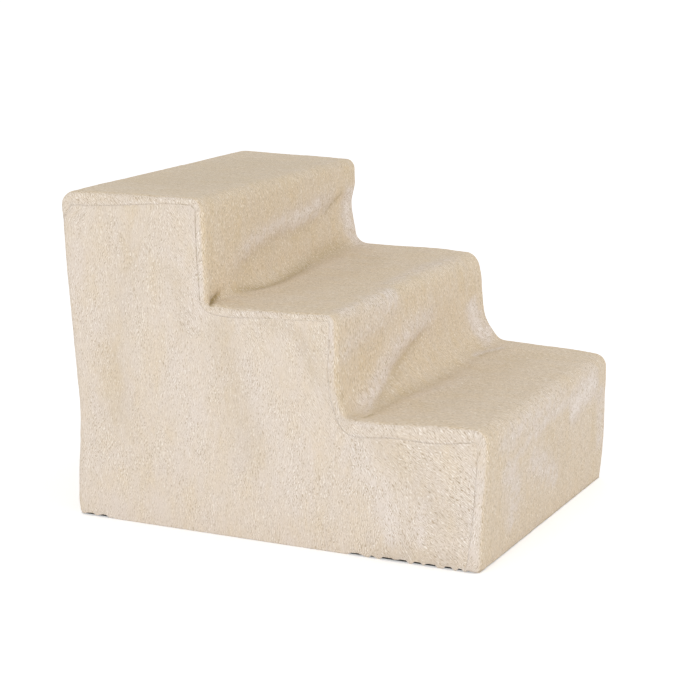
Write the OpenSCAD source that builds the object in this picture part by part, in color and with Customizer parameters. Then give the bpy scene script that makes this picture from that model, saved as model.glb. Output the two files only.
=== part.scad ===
// Three-step pet stairs: a knock-down plastic frame under a removable plush cover.
// Millimetres. X runs across the treads, the steps climb towards +Y, and Z = 0 is the floor.
// The origin is on the floor, under the middle of the finished stairs.

/* [Steps] */
// Width of the finished stairs
stair_w = 352; // [300:1:400]
// Length of the finished stairs, from the lowest nosing to the back
stair_l = 446; // [425:1:480]
// Height of the finished stairs
stair_h = 334; // [320:1:370]
// Depth of the lower step, from its nosing to the next
lower_going = 144; // [130:1:165]
// Depth of the middle step, from its nosing to the next
middle_going = 148; // [130:1:165]
// Height of the lower tread over the floor
lower_rise = 136; // [120:1:150]
// Height of the middle tread over the lower one
middle_rise = 97; // [90:1:112]

/* [Plush cover] */
// Thickness of the plush with its pile
plush_t = 6; // [5:0.5:8]
// Room between the cover and the frame
cover_gap = 0.4; // [0.3:0.1:1]
// Radius of the plush over each nosing
nosing_r = 18; // [15:1:24]
// Radius of the plush over the back edge of the upper tread
back_r = 15; // [14:1:20]
// Radius of the plush over the side edges
edge_r = 10; // [9:0.5:11]
// How far the step strip wraps onto the sides before its seam
seam_inset = 12; // [11.5:0.5:13]
// Radius of the inner corners where the left seam pinches them
pinch_r = 9; // [6:1:16]
// Radius of the inner corners where the plush bridges them
bridge_r = 26; // [16:1:34]
// How far the plush sinks in between two edges
sag = 3; // [0:0.5:3.5]
// Distance from one fold of the risers to the next
fold_pitch = 125; // [80:5:200]
// Height of the plush hem over the floor
hem_z = 3.5; // [3:0.25:3.5]
// Height of the binding sewn under the hem
binding_h = 2.4; // [1.5:0.1:2.5]
// How far the binding stands back behind the pile
binding_inset = 1.2; // [0.5:0.1:2]
// Gap between two sewn pieces
sew_gap = 0.2; // [0.1:0.05:0.3]

/* [Hook and loop tape] */
// Thickness of one tape
tape_t = 1; // [0.8:0.1:1.2]
// Width of the tapes
tape_w = 20; // [15:1:25]
// Height of the tapes' lower edge over the floor
tape_z = 22; // [18:1:26]
// Distance from the end of a tape to the corner of the frame
tape_end = 54; // [45:1:70]

/* [Frame] */
// Thickness of the tread plates and their lips
tread_t = 4; // [3.5:0.5:4.5]
// Height of the tread lips
lip_h = 26; // [22:1:32]
// Thickness of the side panels' webs
web_t = 3; // [2.5:0.5:4]
// Depth of the rims round the side panels
rim_d = 22; // [20:1:26]
// Thickness of the rims
rim_t = 3; // [2.5:0.5:3.5]
// Thickness of the riser boards and the back panel
board_t = 3; // [2.5:0.5:3.5]
// Thickness of the ribs
rib_t = 2.4; // [2:0.2:3]
// Height of the ribs on the boards and side panels
rib_h = 10; // [8:1:12]
// Height of the ribs under the treads
tread_rib_h = 14; // [10:1:18]
// Pitch of the lattice on the side panels and the back panel
cell = 40; // [36:1:44]
// Width of the bar that is left between two windows of the lattice
bar_w = 12; // [10:1:16]
// Gap between two parts of the frame
fit_gap = 0.2; // [0.1:0.05:0.3]
// Depth of the floor rail
rail_w = 34; // [30:1:44]
// Height of the floor rail
rail_h = 18; // [14:1:24]

/* [Screws and feet] */
// Radius of a screw's shank
shank_r = 1.9; // [1.7:0.1:2]
// Length of a screw's shank
shank_l = 15; // [13:1:17]
// Radius of a screw's head
head_r = 4; // [3.5:0.25:4.5]
// Height of a screw's head
head_h = 2.2; // [1.8:0.1:2.4]
// Radial room round a screw's shank in its boss
pilot_gap = 0.1; // [0.05:0.05:0.15]
// Radial room round a screw's shank and head in a plate
hole_gap = 0.3; // [0.2:0.05:0.4]
// Radius of the screw bosses
boss_r = 4.5; // [4:0.25:5]
// Height of the feet, which carry the frame
foot_h = 4; // [3.5:0.25:5]
// Radius of the feet
foot_r = 9; // [7.5:0.5:10]
// Radius of the stem that holds a foot in its rim
stem_r = 3; // [2.5:0.25:3.5]

/* [Hidden] */
$fn = 48;

cut = 1; // overrun of every cut past the face that it opens

// The finished stairs: planes of the risers and treads, outside the plush
front_y = -stair_l / 2;
middle_y = front_y + lower_going;
upper_y = middle_y + middle_going;
rear_y = stair_l / 2;
lower_z = lower_rise;
middle_z = lower_z + middle_rise;
upper_z = stair_h;

// The frame inside: its outer planes lie one plush and one gap further in
inset = plush_t + cover_gap;
half_w = stair_w / 2 - inset;
frame_y = [front_y + inset, middle_y + inset, upper_y + inset, rear_y - inset];
frame_z = [lower_z - inset, middle_z - inset, upper_z - inset];
lip_r = nosing_r - inset;
rear_lip_r = back_r - inset;
corner_r = lip_r - tread_t - fit_gap;
rear_corner_r = rear_lip_r - tread_t - fit_gap;

// Edges of the side panels, behind the lips and under the tread plates
edge_y = [
    frame_y[0] + tread_t + fit_gap, frame_y[1] + tread_t + fit_gap,
    frame_y[2] + tread_t + fit_gap, frame_y[3] - tread_t - fit_gap
];
ledge_z = [frame_z[0] - tread_t - fit_gap, frame_z[1] - tread_t - fit_gap, frame_z[2] - tread_t - fit_gap];
board_half_w = half_w - web_t - fit_gap;
inner_half_w = half_w - rim_d - fit_gap;
board_y = [for (i = [0:2]) edge_y[i] + rim_t + fit_gap];
back_y = edge_y[3] - rim_t - fit_gap - board_t;
board_low_z = foot_h + rim_t + fit_gap;
board_z = [board_low_z, frame_z[0] + fit_gap, frame_z[1] + fit_gap];
board_top_z = [for (i = [0:2]) ledge_z[i] - max(corner_r, rim_t + fit_gap)];

// Screws sit in the middle of the rims, each one screw_end from the end of its edge
screw_x = half_w - rim_d / 2;
screw_end = 2 * boss_r + lip_h / 2;
boss_l = shank_l - rim_t;
rib_keep = rim_t + board_t + boss_l + 2 * fit_gap;
riser_screw_z = [for (i = [0:2]) riser_screw_rows(board_z[i] + screw_end, frame_z[i] - lip_h - 2 * head_r)];
back_screw_z = [
    board_low_z + screw_end, (board_low_z + frame_z[2]) / 2, frame_z[2] - lip_h - 2 * head_r
];
tread_screw_y = [
    for (i = [0:2]) [edge_y[i] + screw_end, edge_y[i + 1] - (i == 2 ? screw_end : 2 * boss_r)]
];
rail_y = 0;
rail_screw_y = [rail_y - rail_w / 4, rail_y + rail_w / 4];

foot_end = 3 * foot_r;
foot_y = [edge_y[0] + foot_end, rail_y + rail_w / 2 + foot_end, edge_y[3] - foot_end];
stem_l = rim_t + 2 * fit_gap;

// The lattice starts over the tapes
lattice_z = tape_z + tape_w + bar_w / 2;
lattice_y = edge_y[0] + rib_keep;
window_l = cell - bar_w;

// Lengths of the tapes, and how deep they sit
side_tape_l = stair_l - 2 * inset - 2 * tape_end;
cross_tape_l = stair_w - 2 * inset - 2 * tape_end;
tape_recess = tape_t + fit_gap;
tape_pocket = tape_t + sew_gap;
land_h = tape_w + 2 * rib_t;

// Segments of the side panels' rounded corners
corner_n = 6;

// Shape of the cover: segments of each arc, stations across the width, and the inner fold
arc_n = 3;
edge_n = 2;
station_n = 9;
inner_edge_r = plush_t / 8;
fold_lean_share = 0.3; // how far a fold leans between the two rows of points, as a share of its pitch
tread_sag_share = 0.5; // sag of a tread as a share of a riser's

cream = [0.91, 0.86, 0.78];
shade_cream = [0.86, 0.79, 0.69];
black_plastic = [0.12, 0.12, 0.13];
grey_plastic = [0.2, 0.2, 0.21];
rubber = [0.06, 0.06, 0.06];
steel = [0.7, 0.7, 0.72];
tape_black = [0.09, 0.09, 0.1];

// Extrudes a YZ outline along X, centred on the middle plane
module across(length) {
    rotate([90, 0, 90]) translate([0, 0, -length / 2]) linear_extrude(length) children();
}

// Extrudes a YZ outline along X, from one X to another
module between(from, to) {
    rotate([90, 0, 90]) translate([0, 0, from]) linear_extrude(to - from) children();
}

// A box from its low corner to its high corner
module block(low, high) {
    translate(low) cube(high - low);
}

// Both sides of the stairs
module both_sides() {
    children();
    mirror([1, 0, 0]) children();
}

// A cylinder along +Y
module along_y(r, length) {
    rotate([-90, 0, 0]) cylinder(r = r, h = length);
}

// A screw whose head lies above the plane z = 0 and whose shank points down
module screw() {
    cylinder(r = head_r, h = head_h);
    translate([0, 0, -shank_l]) cylinder(r = shank_r, h = shank_l);
}

// Points of an arc round a centre, in a number of segments
function arc(centre, r, from, to, segments) = [
    for (k = [0:segments]) let (a = from + (to - from) * k / segments)
        [centre[0] + r * cos(a), centre[1] + r * sin(a)]
];

// As many points, whose chords touch the arc from outside
function arc_round(centre, r, from, to, segments) = let (step = (to - from) / (segments + 1))
    arc(centre, r / cos(step / 2), from + step / 2, to - step / 2, segments);

// Frame

// Heights of a riser's screws: one under the lip, and one near the foot of the board if it has room there
function riser_screw_rows(low, high) = high - low > 2 * boss_r ? [low, high] : [high];

// Corner of a side panel that fits inside the bend of a lip, drawn in with its edge
function panel_corner(y, z, r, behind) =
    arc([y + (behind ? -r : r), z - r], r, behind ? 90 : 180, behind ? 0 : 90, corner_n);

// Stepped outline of a side panel, drawn in by its own amount at the edges, ledges and floor
function panel_outline(at_edge, at_ledge, at_floor) = concat(
    [[edge_y[0] + at_edge, foot_h + at_floor]],
    [for (i = [0:2]) each concat(
        panel_corner(edge_y[i] + at_edge, ledge_z[i] - at_ledge, max(corner_r - at_edge, fit_gap), false),
        i < 2 ? [[edge_y[i + 1] + at_edge, ledge_z[i] - at_ledge]] : []
    )],
    panel_corner(edge_y[3] - at_edge, ledge_z[2] - at_ledge, max(rear_corner_r - at_edge, fit_gap), true),
    [[edge_y[3] - at_edge, foot_h + at_floor]]
);

// Height of the ledge over a place along the panel, one rib_keep behind each step's edge
function ledge_over(y) =
    y < edge_y[1] + rib_keep ? ledge_z[0] : y < edge_y[2] + rib_keep ? ledge_z[1] : ledge_z[2];

// Low corners of the lattice's cells that lie inside the panel
function lattice_cells() = [
    for (y = [lattice_y : cell : edge_y[3] - rib_keep - cell])
    for (z = [lattice_z : cell : ledge_over(y) - rim_t - cell]) [y, z]
];

// The web, rims and ribs of the right side panel, before its holes
module panel_body() {
    between(half_w - web_t, half_w) polygon(panel_outline(0, 0, 0));
    between(half_w - rim_d, half_w) difference() {
        polygon(panel_outline(0, 0, 0));
        polygon(panel_outline(rim_t, rim_t, rim_t));
    }
    difference() {
        intersection() {
            between(half_w - web_t - rib_h, half_w - web_t / 2)
                polygon(panel_outline(rib_keep, rim_t / 2, rim_t / 2));
            union() {
                for (y = [lattice_y : cell : edge_y[3]])
                    block([half_w - rim_d, y - rib_t / 2, 0], [half_w, y + rib_t / 2, upper_z]);
                for (z = [lattice_z : cell : upper_z])
                    block([half_w - rim_d, front_y, z - rib_t / 2], [half_w, rear_y, z + rib_t / 2]);
            }
        }
        block(
            [0, rail_y - rail_w / 2 - cut, 0],
            [half_w - web_t, rail_y + rail_w / 2 + cut, board_low_z + rail_h + cut]
        );
    }
    for (i = [0:2], y = tread_screw_y[i])
        translate([screw_x, y, ledge_z[i] - rim_t - boss_l]) cylinder(r = boss_r, h = boss_l + rim_t / 2);
}

module panel() {
    difference() {
        panel_body();
        for (c = lattice_cells())
            block(
                [half_w - web_t - cut, c[0] + bar_w / 2, c[1] + bar_w / 2],
                [half_w + cut, c[0] + bar_w / 2 + window_l, c[1] + bar_w / 2 + window_l]
            );
        block(
            [half_w - tape_recess, -side_tape_l / 2 - fit_gap, tape_z - fit_gap],
            [half_w + cut, side_tape_l / 2 + fit_gap, tape_z + tape_w + fit_gap]
        );
        for (i = [0:2], y = tread_screw_y[i])
            translate([screw_x, y, ledge_z[i] - rim_t - boss_l - cut])
                cylinder(r = shank_r + pilot_gap, h = boss_l + rim_t + 2 * cut);
        for (i = [0:2], z = riser_screw_z[i])
            translate([screw_x, edge_y[i] - cut, z])
                along_y(shank_r + hole_gap, rim_t + 2 * cut);
        for (z = back_screw_z)
            translate([screw_x, edge_y[3] - rim_t - cut, z])
                along_y(shank_r + hole_gap, rim_t + 2 * cut);
        for (y = rail_screw_y)
            translate([screw_x, y, foot_h - cut]) cylinder(r = shank_r + hole_gap, h = rim_t + 2 * cut);
        for (y = foot_y)
            translate([screw_x, y, foot_h - cut]) cylinder(r = stem_r + pilot_gap, h = rim_t + 2 * cut);
    }
}

module side_panel_right() {
    color(black_plastic) panel();
}

module side_panel_left() {
    color(black_plastic) mirror([1, 0, 0]) panel();
}

// Quarter-round bend of a lip, in the quadrant up and to the front of its centre
module lip_bend(r) {
    intersection() {
        difference() {
            circle(r);
            circle(r - tread_t);
        }
        translate([-r, 0]) square(r);
    }
}

// A front lip: its bend and its upright part
module front_lip(front, top) {
    translate([front + lip_r, top - lip_r]) lip_bend(lip_r);
    translate([front, top - lip_h]) square([tread_t, lip_h - lip_r]);
}

// The rear lip of the upper tread
module rear_lip(rear, top) {
    translate([rear - rear_lip_r, top - rear_lip_r]) mirror([1, 0]) lip_bend(rear_lip_r);
    translate([rear - tread_t, top - lip_h]) square([tread_t, lip_h - rear_lip_r]);
}

// A tread: i is its place from the bottom
module tread(i) {
    front = frame_y[i];
    top = frame_z[i];
    last = i == 2;
    plate_end = last ? frame_y[3] - rear_lip_r : edge_y[i + 1] - fit_gap;
    tongue_end = last ? plate_end : board_y[i + 1] + board_t + 2 * rib_t;
    rib_start = board_y[i] + board_t + boss_l + rib_t;
    rib_end = last ? back_y - boss_l - rib_t : tongue_end;
    difference() {
        union() {
            across(2 * half_w) {
                front_lip(front, top);
                translate([front + lip_r, top - tread_t]) square([plate_end - front - lip_r, tread_t]);
                if (last) rear_lip(frame_y[3], top);
            }
            across(2 * inner_half_w)
                translate([front + lip_r, top - tread_t]) square([tongue_end - front - lip_r, tread_t]);
            tread_ribs(rib_start, rib_end, top - tread_t);
        }
        both_sides() for (y = tread_screw_y[i]) translate([screw_x, y, top]) {
            translate([0, 0, -tread_t - cut]) cylinder(r = shank_r + hole_gap, h = tread_t + 2 * cut);
            translate([0, 0, -head_h - fit_gap]) cylinder(r = head_r + hole_gap, h = head_h + fit_gap + cut);
        }
    }
}

// Ribs under a tread plate, from start to end along Y
module tread_ribs(start, end, z) {
    count = 7;
    step = (2 * inner_half_w - rib_t) / (count - 1);
    low = z - tread_rib_h;
    for (k = [0 : count - 1])
        block(
            [-inner_half_w + k * step, start, low],
            [-inner_half_w + k * step + rib_t, end, z + tread_t / 2]
        );
    for (y = [start, (start + end - rib_t) / 2, end - rib_t])
        block([-inner_half_w, y, low], [inner_half_w, y + rib_t, z + tread_t / 2]);
}

module tread_lower() {
    color(grey_plastic) tread(0);
}

module tread_middle() {
    color(grey_plastic) tread(1);
}

module tread_upper() {
    color(grey_plastic) tread(2);
}

// Ribs on the back of a board that faces the front: k upright ribs and two level ones
module board_ribs(y, low, top) {
    count = 6;
    step = (2 * inner_half_w - rib_t) / (count - 1);
    for (k = [0 : count - 1])
        block([-inner_half_w + k * step, y, low], [-inner_half_w + k * step + rib_t, y + rib_h, top]);
    for (z = [low, top - rib_t])
        block([-inner_half_w, y, z], [inner_half_w, y + rib_h, z + rib_t]);
}

// A riser board: i is its place from the bottom
module riser(i) {
    difference() {
        union() {
            block(
                [-board_half_w, board_y[i], board_z[i]],
                [board_half_w, board_y[i] + board_t, board_top_z[i]]
            );
            board_ribs(board_y[i] + board_t / 2, board_z[i], board_top_z[i]);
            both_sides() for (z = riser_screw_z[i])
                translate([screw_x, board_y[i] + board_t / 2, z]) along_y(boss_r, boss_l - board_t / 2);
        }
        both_sides() for (z = riser_screw_z[i])
            translate([screw_x, board_y[i] - cut, z]) along_y(shank_r + pilot_gap, boss_l + 2 * cut);
    }
}

module riser_lower() {
    color(grey_plastic) {
        riser(0);
        // Land for the tape, as far out as the lip over it
        block(
            [-cross_tape_l / 2 - rib_t, frame_y[0] + tape_recess, tape_z - rib_t],
            [cross_tape_l / 2 + rib_t, board_y[0] + board_t / 2, tape_z - rib_t + land_h]
        );
    }
}

module riser_middle() {
    color(grey_plastic) riser(1);
}

module riser_upper() {
    color(grey_plastic) riser(2);
}

module back_panel() {
    top = board_top_z[2];
    columns = floor((2 * inner_half_w - bar_w) / cell);
    first_x = -columns * cell / 2 + bar_w / 2;
    color(grey_plastic) difference() {
        union() {
            block([-board_half_w, back_y, board_low_z], [board_half_w, back_y + board_t, top]);
            mirror([0, 1, 0]) board_ribs(-back_y - board_t / 2, board_low_z, top);
            both_sides() for (z = back_screw_z)
                translate([screw_x, back_y + board_t - boss_l, z]) along_y(boss_r, boss_l - board_t / 2);
            block(
                [-cross_tape_l / 2 - rib_t, back_y + board_t / 2, tape_z - rib_t],
                [cross_tape_l / 2 + rib_t, frame_y[3] - tape_recess, tape_z - rib_t + land_h]
            );
        }
        for (k = [0 : columns - 1], z = [lattice_z : cell : frame_z[2] - lip_h - cell])
            translate([first_x + k * cell, back_y - cut, z + bar_w / 2])
                cube([window_l, board_t + 2 * cut, window_l]);
        both_sides() for (z = back_screw_z)
            translate([screw_x, back_y + board_t - boss_l - cut, z])
                along_y(shank_r + pilot_gap, boss_l + 2 * cut);
    }
}

module floor_rail() {
    color(grey_plastic) difference() {
        union() {
            block(
                [-board_half_w, rail_y - rail_w / 2, board_low_z],
                [board_half_w, rail_y + rail_w / 2, board_low_z + board_t]
            );
            for (y = [rail_y - rail_w / 2, rail_y + rail_w / 2 - board_t])
                block([-board_half_w, y, board_low_z], [board_half_w, y + board_t, board_low_z + rail_h]);
            both_sides() for (y = rail_screw_y)
                translate([screw_x, y, board_low_z]) cylinder(r = boss_r, h = boss_l);
        }
        both_sides() for (y = rail_screw_y)
            translate([screw_x, y, board_low_z - cut])
                cylinder(r = shank_r + pilot_gap, h = boss_l + 2 * cut);
    }
}

module tread_screws() {
    color(steel) both_sides() for (i = [0:2], y = tread_screw_y[i])
        translate([screw_x, y, frame_z[i] - head_h]) screw();
}

module riser_screws() {
    color(steel) both_sides() for (i = [0:2], z = riser_screw_z[i])
        translate([screw_x, edge_y[i] - fit_gap, z]) rotate([90, 0, 0]) screw();
}

module back_screws() {
    color(steel) both_sides() for (z = back_screw_z)
        translate([screw_x, edge_y[3] + fit_gap, z]) rotate([-90, 0, 0]) screw();
}

module rail_screws() {
    color(steel) both_sides() for (y = rail_screw_y)
        translate([screw_x, y, foot_h - fit_gap]) rotate([180, 0, 0]) screw();
}

// A rubber foot: side is -1 or 1, i is its place from the front
module foot(side, i) {
    color(rubber) translate([side * screw_x, foot_y[i], 0]) {
        cylinder(r = foot_r, h = foot_h - fit_gap);
        cylinder(r = stem_r, h = foot_h + stem_l);
    }
}

module foot_front_left() {
    foot(-1, 0);
}

module foot_front_right() {
    foot(1, 0);
}

module foot_middle_left() {
    foot(-1, 1);
}

module foot_middle_right() {
    foot(1, 1);
}

module foot_rear_left() {
    foot(-1, 2);
}

module foot_rear_right() {
    foot(1, 2);
}

module hook_tape_right() {
    color(tape_black) block(
        [half_w - tape_recess, -side_tape_l / 2, tape_z],
        [half_w - tape_recess + tape_t, side_tape_l / 2, tape_z + tape_w]
    );
}

module hook_tape_left() {
    mirror([1, 0, 0]) hook_tape_right();
}

module hook_tape_front() {
    color(tape_black) block(
        [-cross_tape_l / 2, frame_y[0] + tape_recess - tape_t, tape_z],
        [cross_tape_l / 2, frame_y[0] + tape_recess, tape_z + tape_w]
    );
}

module hook_tape_rear() {
    color(tape_black) block(
        [-cross_tape_l / 2, frame_y[3] - tape_recess, tape_z],
        [cross_tape_l / 2, frame_y[3] - tape_recess + tape_t, tape_z + tape_w]
    );
}

// Cover

// Two points on a riser, pushed in by the fold at each of them
function riser_points(y, low, high, folds) = [
    for (k = [0:1]) [y + folds[k], low + (high - low) * (k + 1) / 3]
];

// A point in the middle of a tread
function tread_point(from, to, z, fold) = [[(from + to) / 2, z - fold]];

// A bend over an edge: its inner skin keeps its room all round the lip that it covers
function bend(centre, r, from, to, outer) =
    outer ? arc(centre, r, from, to, arc_n) : arc_round(centre, r, from, to, arc_n);

// The stepped section, d inside the outer planes, from the front hem over the steps to the rear hem
function section(d, bridge, folds, outer) = concat(
    [[front_y + d, hem_z]],
    riser_points(front_y + d, hem_z, lower_z - nosing_r, folds),
    bend([front_y + nosing_r, lower_z - nosing_r], nosing_r - d, 180, 90, outer),
    tread_point(front_y + nosing_r, middle_y - bridge, lower_z - d, tread_sag_share * folds[1]),
    arc([middle_y - bridge, lower_z + bridge], bridge + d, 270, 360, arc_n),
    riser_points(middle_y + d, lower_z + bridge, middle_z - nosing_r, folds),
    bend([middle_y + nosing_r, middle_z - nosing_r], nosing_r - d, 180, 90, outer),
    tread_point(middle_y + nosing_r, upper_y - bridge, middle_z - d, tread_sag_share * folds[0]),
    arc([upper_y - bridge, middle_z + bridge], bridge + d, 270, 360, arc_n),
    riser_points(upper_y + d, middle_z + bridge, upper_z - nosing_r, folds),
    bend([upper_y + nosing_r, upper_z - nosing_r], nosing_r - d, 180, 90, outer),
    tread_point(upper_y + nosing_r, rear_y - back_r, upper_z - d, tread_sag_share * folds[1]),
    bend([rear_y - back_r, upper_z - back_r], back_r - d, 90, 0, outer),
    [[rear_y - d - folds[0], (upper_z + hem_z) / 2], [rear_y - d, hem_z]]
);

// How far the plush is pushed in at a place across the width, in the lower and the upper row
function folds_at(x) = [
    for (k = [0:1]) sag * (1 - cos(360 * (x / fold_pitch - k * fold_lean_share))) / 2
];

// Radius of the inner corners at a place across the width: pinched at the left, bridged from the middle on
function bridge_at(x) = let (share = min(1, max(0, (x + stair_w / 2) / (stair_w / 2))))
    pinch_r + (bridge_r - pinch_r) * sin(90 * share);

// Stations round one rounded side edge: [distance from the side, distance inside the planes]
function edge_stations(side_d, r) = [
    for (k = [0:edge_n]) let (a = 90 * k / edge_n)
        [side_d + r * (1 - cos(a)), side_d + r * (1 - sin(a))]
];

// One row of stations per surface: [x, distance inside the planes, folded or not]
function side_row(side, side_d, r) = [
    for (s = concat([[side_d, seam_inset]], edge_stations(side_d, r))) [side * (stair_w / 2 - s[0]), s[1]]
];

function flipped(row) = [for (k = [len(row) - 1 : -1 : 0]) row[k]];

function row_of_stations(side_d, r) = concat(
    side_row(-1, side_d, r),
    [for (k = [1:station_n]) [station_x(k), side_d]],
    flipped(side_row(1, side_d, r))
);

// Place of an inner station across the width
function station_x(k) = (k / (station_n + 1) - 1 / 2) * (stair_w - 2 * edge_r);

// Only the free middle of the outer surface is folded
function folded(x, d, outer) = outer && d == 0 && abs(x) < stair_w / 2 - edge_r - sew_gap;

function skin(side_d, r, outer) = [
    for (s = row_of_stations(side_d, r)) let (folds = folded(s[0], s[1], outer) ? folds_at(s[0]) : [0, 0])
        [for (p = section(s[1], bridge_at(s[0]), folds, outer)) [s[0], p[0], p[1]]]
];

// A closed shell between an outer and an inner skin, each a grid of rows
module shell(outer, inner) {
    rows = len(outer);
    n = len(outer[0]);
    points = [for (g = [outer, inner], row = g, p = row) p];
    function at(g, i, j) = (g * rows + i) * n + j;
    function quad(a, b, c, d) = [[a, b, c], [a, c, d]];
    faces = concat(
        [for (i = [0 : rows - 2], j = [0 : n - 2], f = quad(
            at(0, i, j), at(0, i, j + 1), at(0, i + 1, j + 1), at(0, i + 1, j))) f],
        [for (i = [0 : rows - 2], j = [0 : n - 2], f = quad(
            at(1, i, j), at(1, i + 1, j), at(1, i + 1, j + 1), at(1, i, j + 1))) f],
        [for (i = [0 : rows - 2], f = concat(
            quad(at(0, i, 0), at(0, i + 1, 0), at(1, i + 1, 0), at(1, i, 0)),
            quad(at(0, i, n - 1), at(1, i, n - 1), at(1, i + 1, n - 1), at(0, i + 1, n - 1)))) f],
        [for (j = [0 : n - 2], f = concat(
            quad(at(0, 0, j), at(1, 0, j), at(1, 0, j + 1), at(0, 0, j + 1)),
            quad(at(0, rows - 1, j), at(0, rows - 1, j + 1), at(1, rows - 1, j + 1), at(1, rows - 1, j)))) f]
    );
    polyhedron(points, faces, convexity = 6);
}

module cover_step_strip() {
    color(shade_cream) difference() {
        shell(skin(0, edge_r, true), skin(plush_t, inner_edge_r, false));
        cross_pocket(front_y + plush_t - tape_pocket, front_y + plush_t + cut);
        cross_pocket(rear_y - plush_t - cut, rear_y - plush_t + tape_pocket);
    }
}

// Pocket for a loop tape in the front or the rear of the strip
module cross_pocket(from_y, to_y) {
    block(
        [-cross_tape_l / 2 - sew_gap, from_y, tape_z - sew_gap],
        [cross_tape_l / 2 + sew_gap, to_y, tape_z + tape_w + sew_gap]
    );
}

// A side panel of the cover: side is -1 or 1
module cover_side(side, bridge) {
    outer_x = stair_w / 2;
    color(cream) mirror([side < 0 ? 1 : 0, 0, 0]) difference() {
        between(outer_x - plush_t, outer_x) polygon(section(seam_inset + sew_gap, bridge, [0, 0], true));
        block(
            [outer_x - plush_t - cut, -side_tape_l / 2 - sew_gap, tape_z - sew_gap],
            [outer_x - plush_t + tape_pocket, side_tape_l / 2 + sew_gap, tape_z + tape_w + sew_gap]
        );
    }
}

module cover_side_left() {
    cover_side(-1, bridge_at(-stair_w / 2));
}

module cover_side_right() {
    cover_side(1, bridge_at(stair_w / 2));
}

// Rounded rectangle about the origin, in plan
module rounded_plan(length, width, r) {
    square([width - 2 * r, length], center = true);
    square([width, length - 2 * r], center = true);
    for (x = [-1, 1], y = [-1, 1])
        translate([x * (width / 2 - r), y * (length / 2 - r)]) circle(r);
}

module hem_binding() {
    outer_r = edge_r - binding_inset;
    inner_r = inner_edge_r;
    color(tape_black) translate([0, 0, hem_z - binding_h]) linear_extrude(binding_h - sew_gap) difference() {
        rounded_plan(stair_l - 2 * binding_inset, stair_w - 2 * binding_inset, outer_r);
        rounded_plan(stair_l - 2 * plush_t, stair_w - 2 * plush_t, inner_r);
    }
}

module loop_tape_right() {
    x = stair_w / 2 - plush_t;
    color(tape_black) block(
        [x + sew_gap / 2, -side_tape_l / 2, tape_z],
        [x + sew_gap / 2 + tape_t, side_tape_l / 2, tape_z + tape_w]
    );
}

module loop_tape_left() {
    mirror([1, 0, 0]) loop_tape_right();
}

module loop_tape_front() {
    y = front_y + plush_t - sew_gap / 2;
    color(tape_black) block(
        [-cross_tape_l / 2, y - tape_t, tape_z], [cross_tape_l / 2, y, tape_z + tape_w]
    );
}

module loop_tape_rear() {
    y = rear_y - plush_t + sew_gap / 2;
    color(tape_black) block(
        [-cross_tape_l / 2, y, tape_z], [cross_tape_l / 2, y + tape_t, tape_z + tape_w]
    );
}

side_panel_left();
side_panel_right();
tread_lower();
tread_middle();
tread_upper();
riser_lower();
riser_middle();
riser_upper();
back_panel();
floor_rail();
tread_screws();
riser_screws();
back_screws();
rail_screws();
foot_front_left();
foot_front_right();
foot_middle_left();
foot_middle_right();
foot_rear_left();
foot_rear_right();
hook_tape_left();
hook_tape_right();
hook_tape_front();
hook_tape_rear();
cover_step_strip();
cover_side_left();
cover_side_right();
hem_binding();
loop_tape_left();
loop_tape_right();
loop_tape_front();
loop_tape_rear();
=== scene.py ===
"""Three-step pet stairs: a cream plush cover over a ribbed plastic frame.

Metres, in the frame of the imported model: X runs across the treads, the steps climb towards +Y and
Z = 0 is the floor. Folds and other small places on the cloth are given in millimetres.
"""

import logging
import math
from collections.abc import Iterable, Sequence
from dataclasses import dataclass, field, replace
from enum import Enum
from functools import cache

import bmesh
import bpy
import numpy as np
from bmesh.types import BMEdge, BMesh, BMFace, BMVert
from bpy.types import Material, Mesh, Node, NodeOutputs, NodeSocket, NodeTree, Object
from mathutils import Matrix, Vector, noise

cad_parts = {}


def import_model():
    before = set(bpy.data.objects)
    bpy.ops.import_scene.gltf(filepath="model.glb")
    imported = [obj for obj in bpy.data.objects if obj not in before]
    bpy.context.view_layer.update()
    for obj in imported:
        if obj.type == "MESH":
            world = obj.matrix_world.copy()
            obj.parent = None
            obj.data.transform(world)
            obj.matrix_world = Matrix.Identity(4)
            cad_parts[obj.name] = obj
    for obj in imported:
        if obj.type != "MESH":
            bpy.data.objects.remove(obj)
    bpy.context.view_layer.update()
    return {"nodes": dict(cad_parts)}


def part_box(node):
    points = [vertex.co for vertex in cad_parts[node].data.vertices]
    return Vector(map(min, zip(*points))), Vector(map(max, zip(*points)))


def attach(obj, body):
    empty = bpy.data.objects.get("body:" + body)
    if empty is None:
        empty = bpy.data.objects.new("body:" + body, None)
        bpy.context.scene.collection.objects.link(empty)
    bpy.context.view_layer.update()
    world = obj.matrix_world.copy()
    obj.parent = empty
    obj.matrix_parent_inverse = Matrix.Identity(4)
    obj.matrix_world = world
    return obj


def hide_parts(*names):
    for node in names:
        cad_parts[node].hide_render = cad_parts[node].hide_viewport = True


MM = 0.001
UNIT = (0.0, 1.0)
# A cut snaps to a vertex that is nearer than this
CUT_GAP = 0.00002
FLOAT = "NodeSocketFloat"
log = logging.getLogger("pet_stairs")

Colour = tuple[float, float, float]
Point = tuple[float, float, float]


class Body(Enum):
    """The bodies that pieces ride on."""

    FRAME = "frame"
    COVER = "cover"


class Slot(Enum):
    """Names of the record's material slots; add_piece takes one for each piece but does nothing with it."""

    PLUSH = "plush"
    BINDING = "binding"
    LOOP = "loop_tape"
    HOOK = "hook_tape"
    RUBBER = "foot_rubber"
    STEEL = "screw_steel"


class Side(Enum):
    """The two sides of the stairs, as the sign of X."""

    LEFT = -1
    RIGHT = 1

    @property
    def word(self) -> str:
        """The side's name in a piece's name."""
        return self.name.lower()


# Shader building


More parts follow.
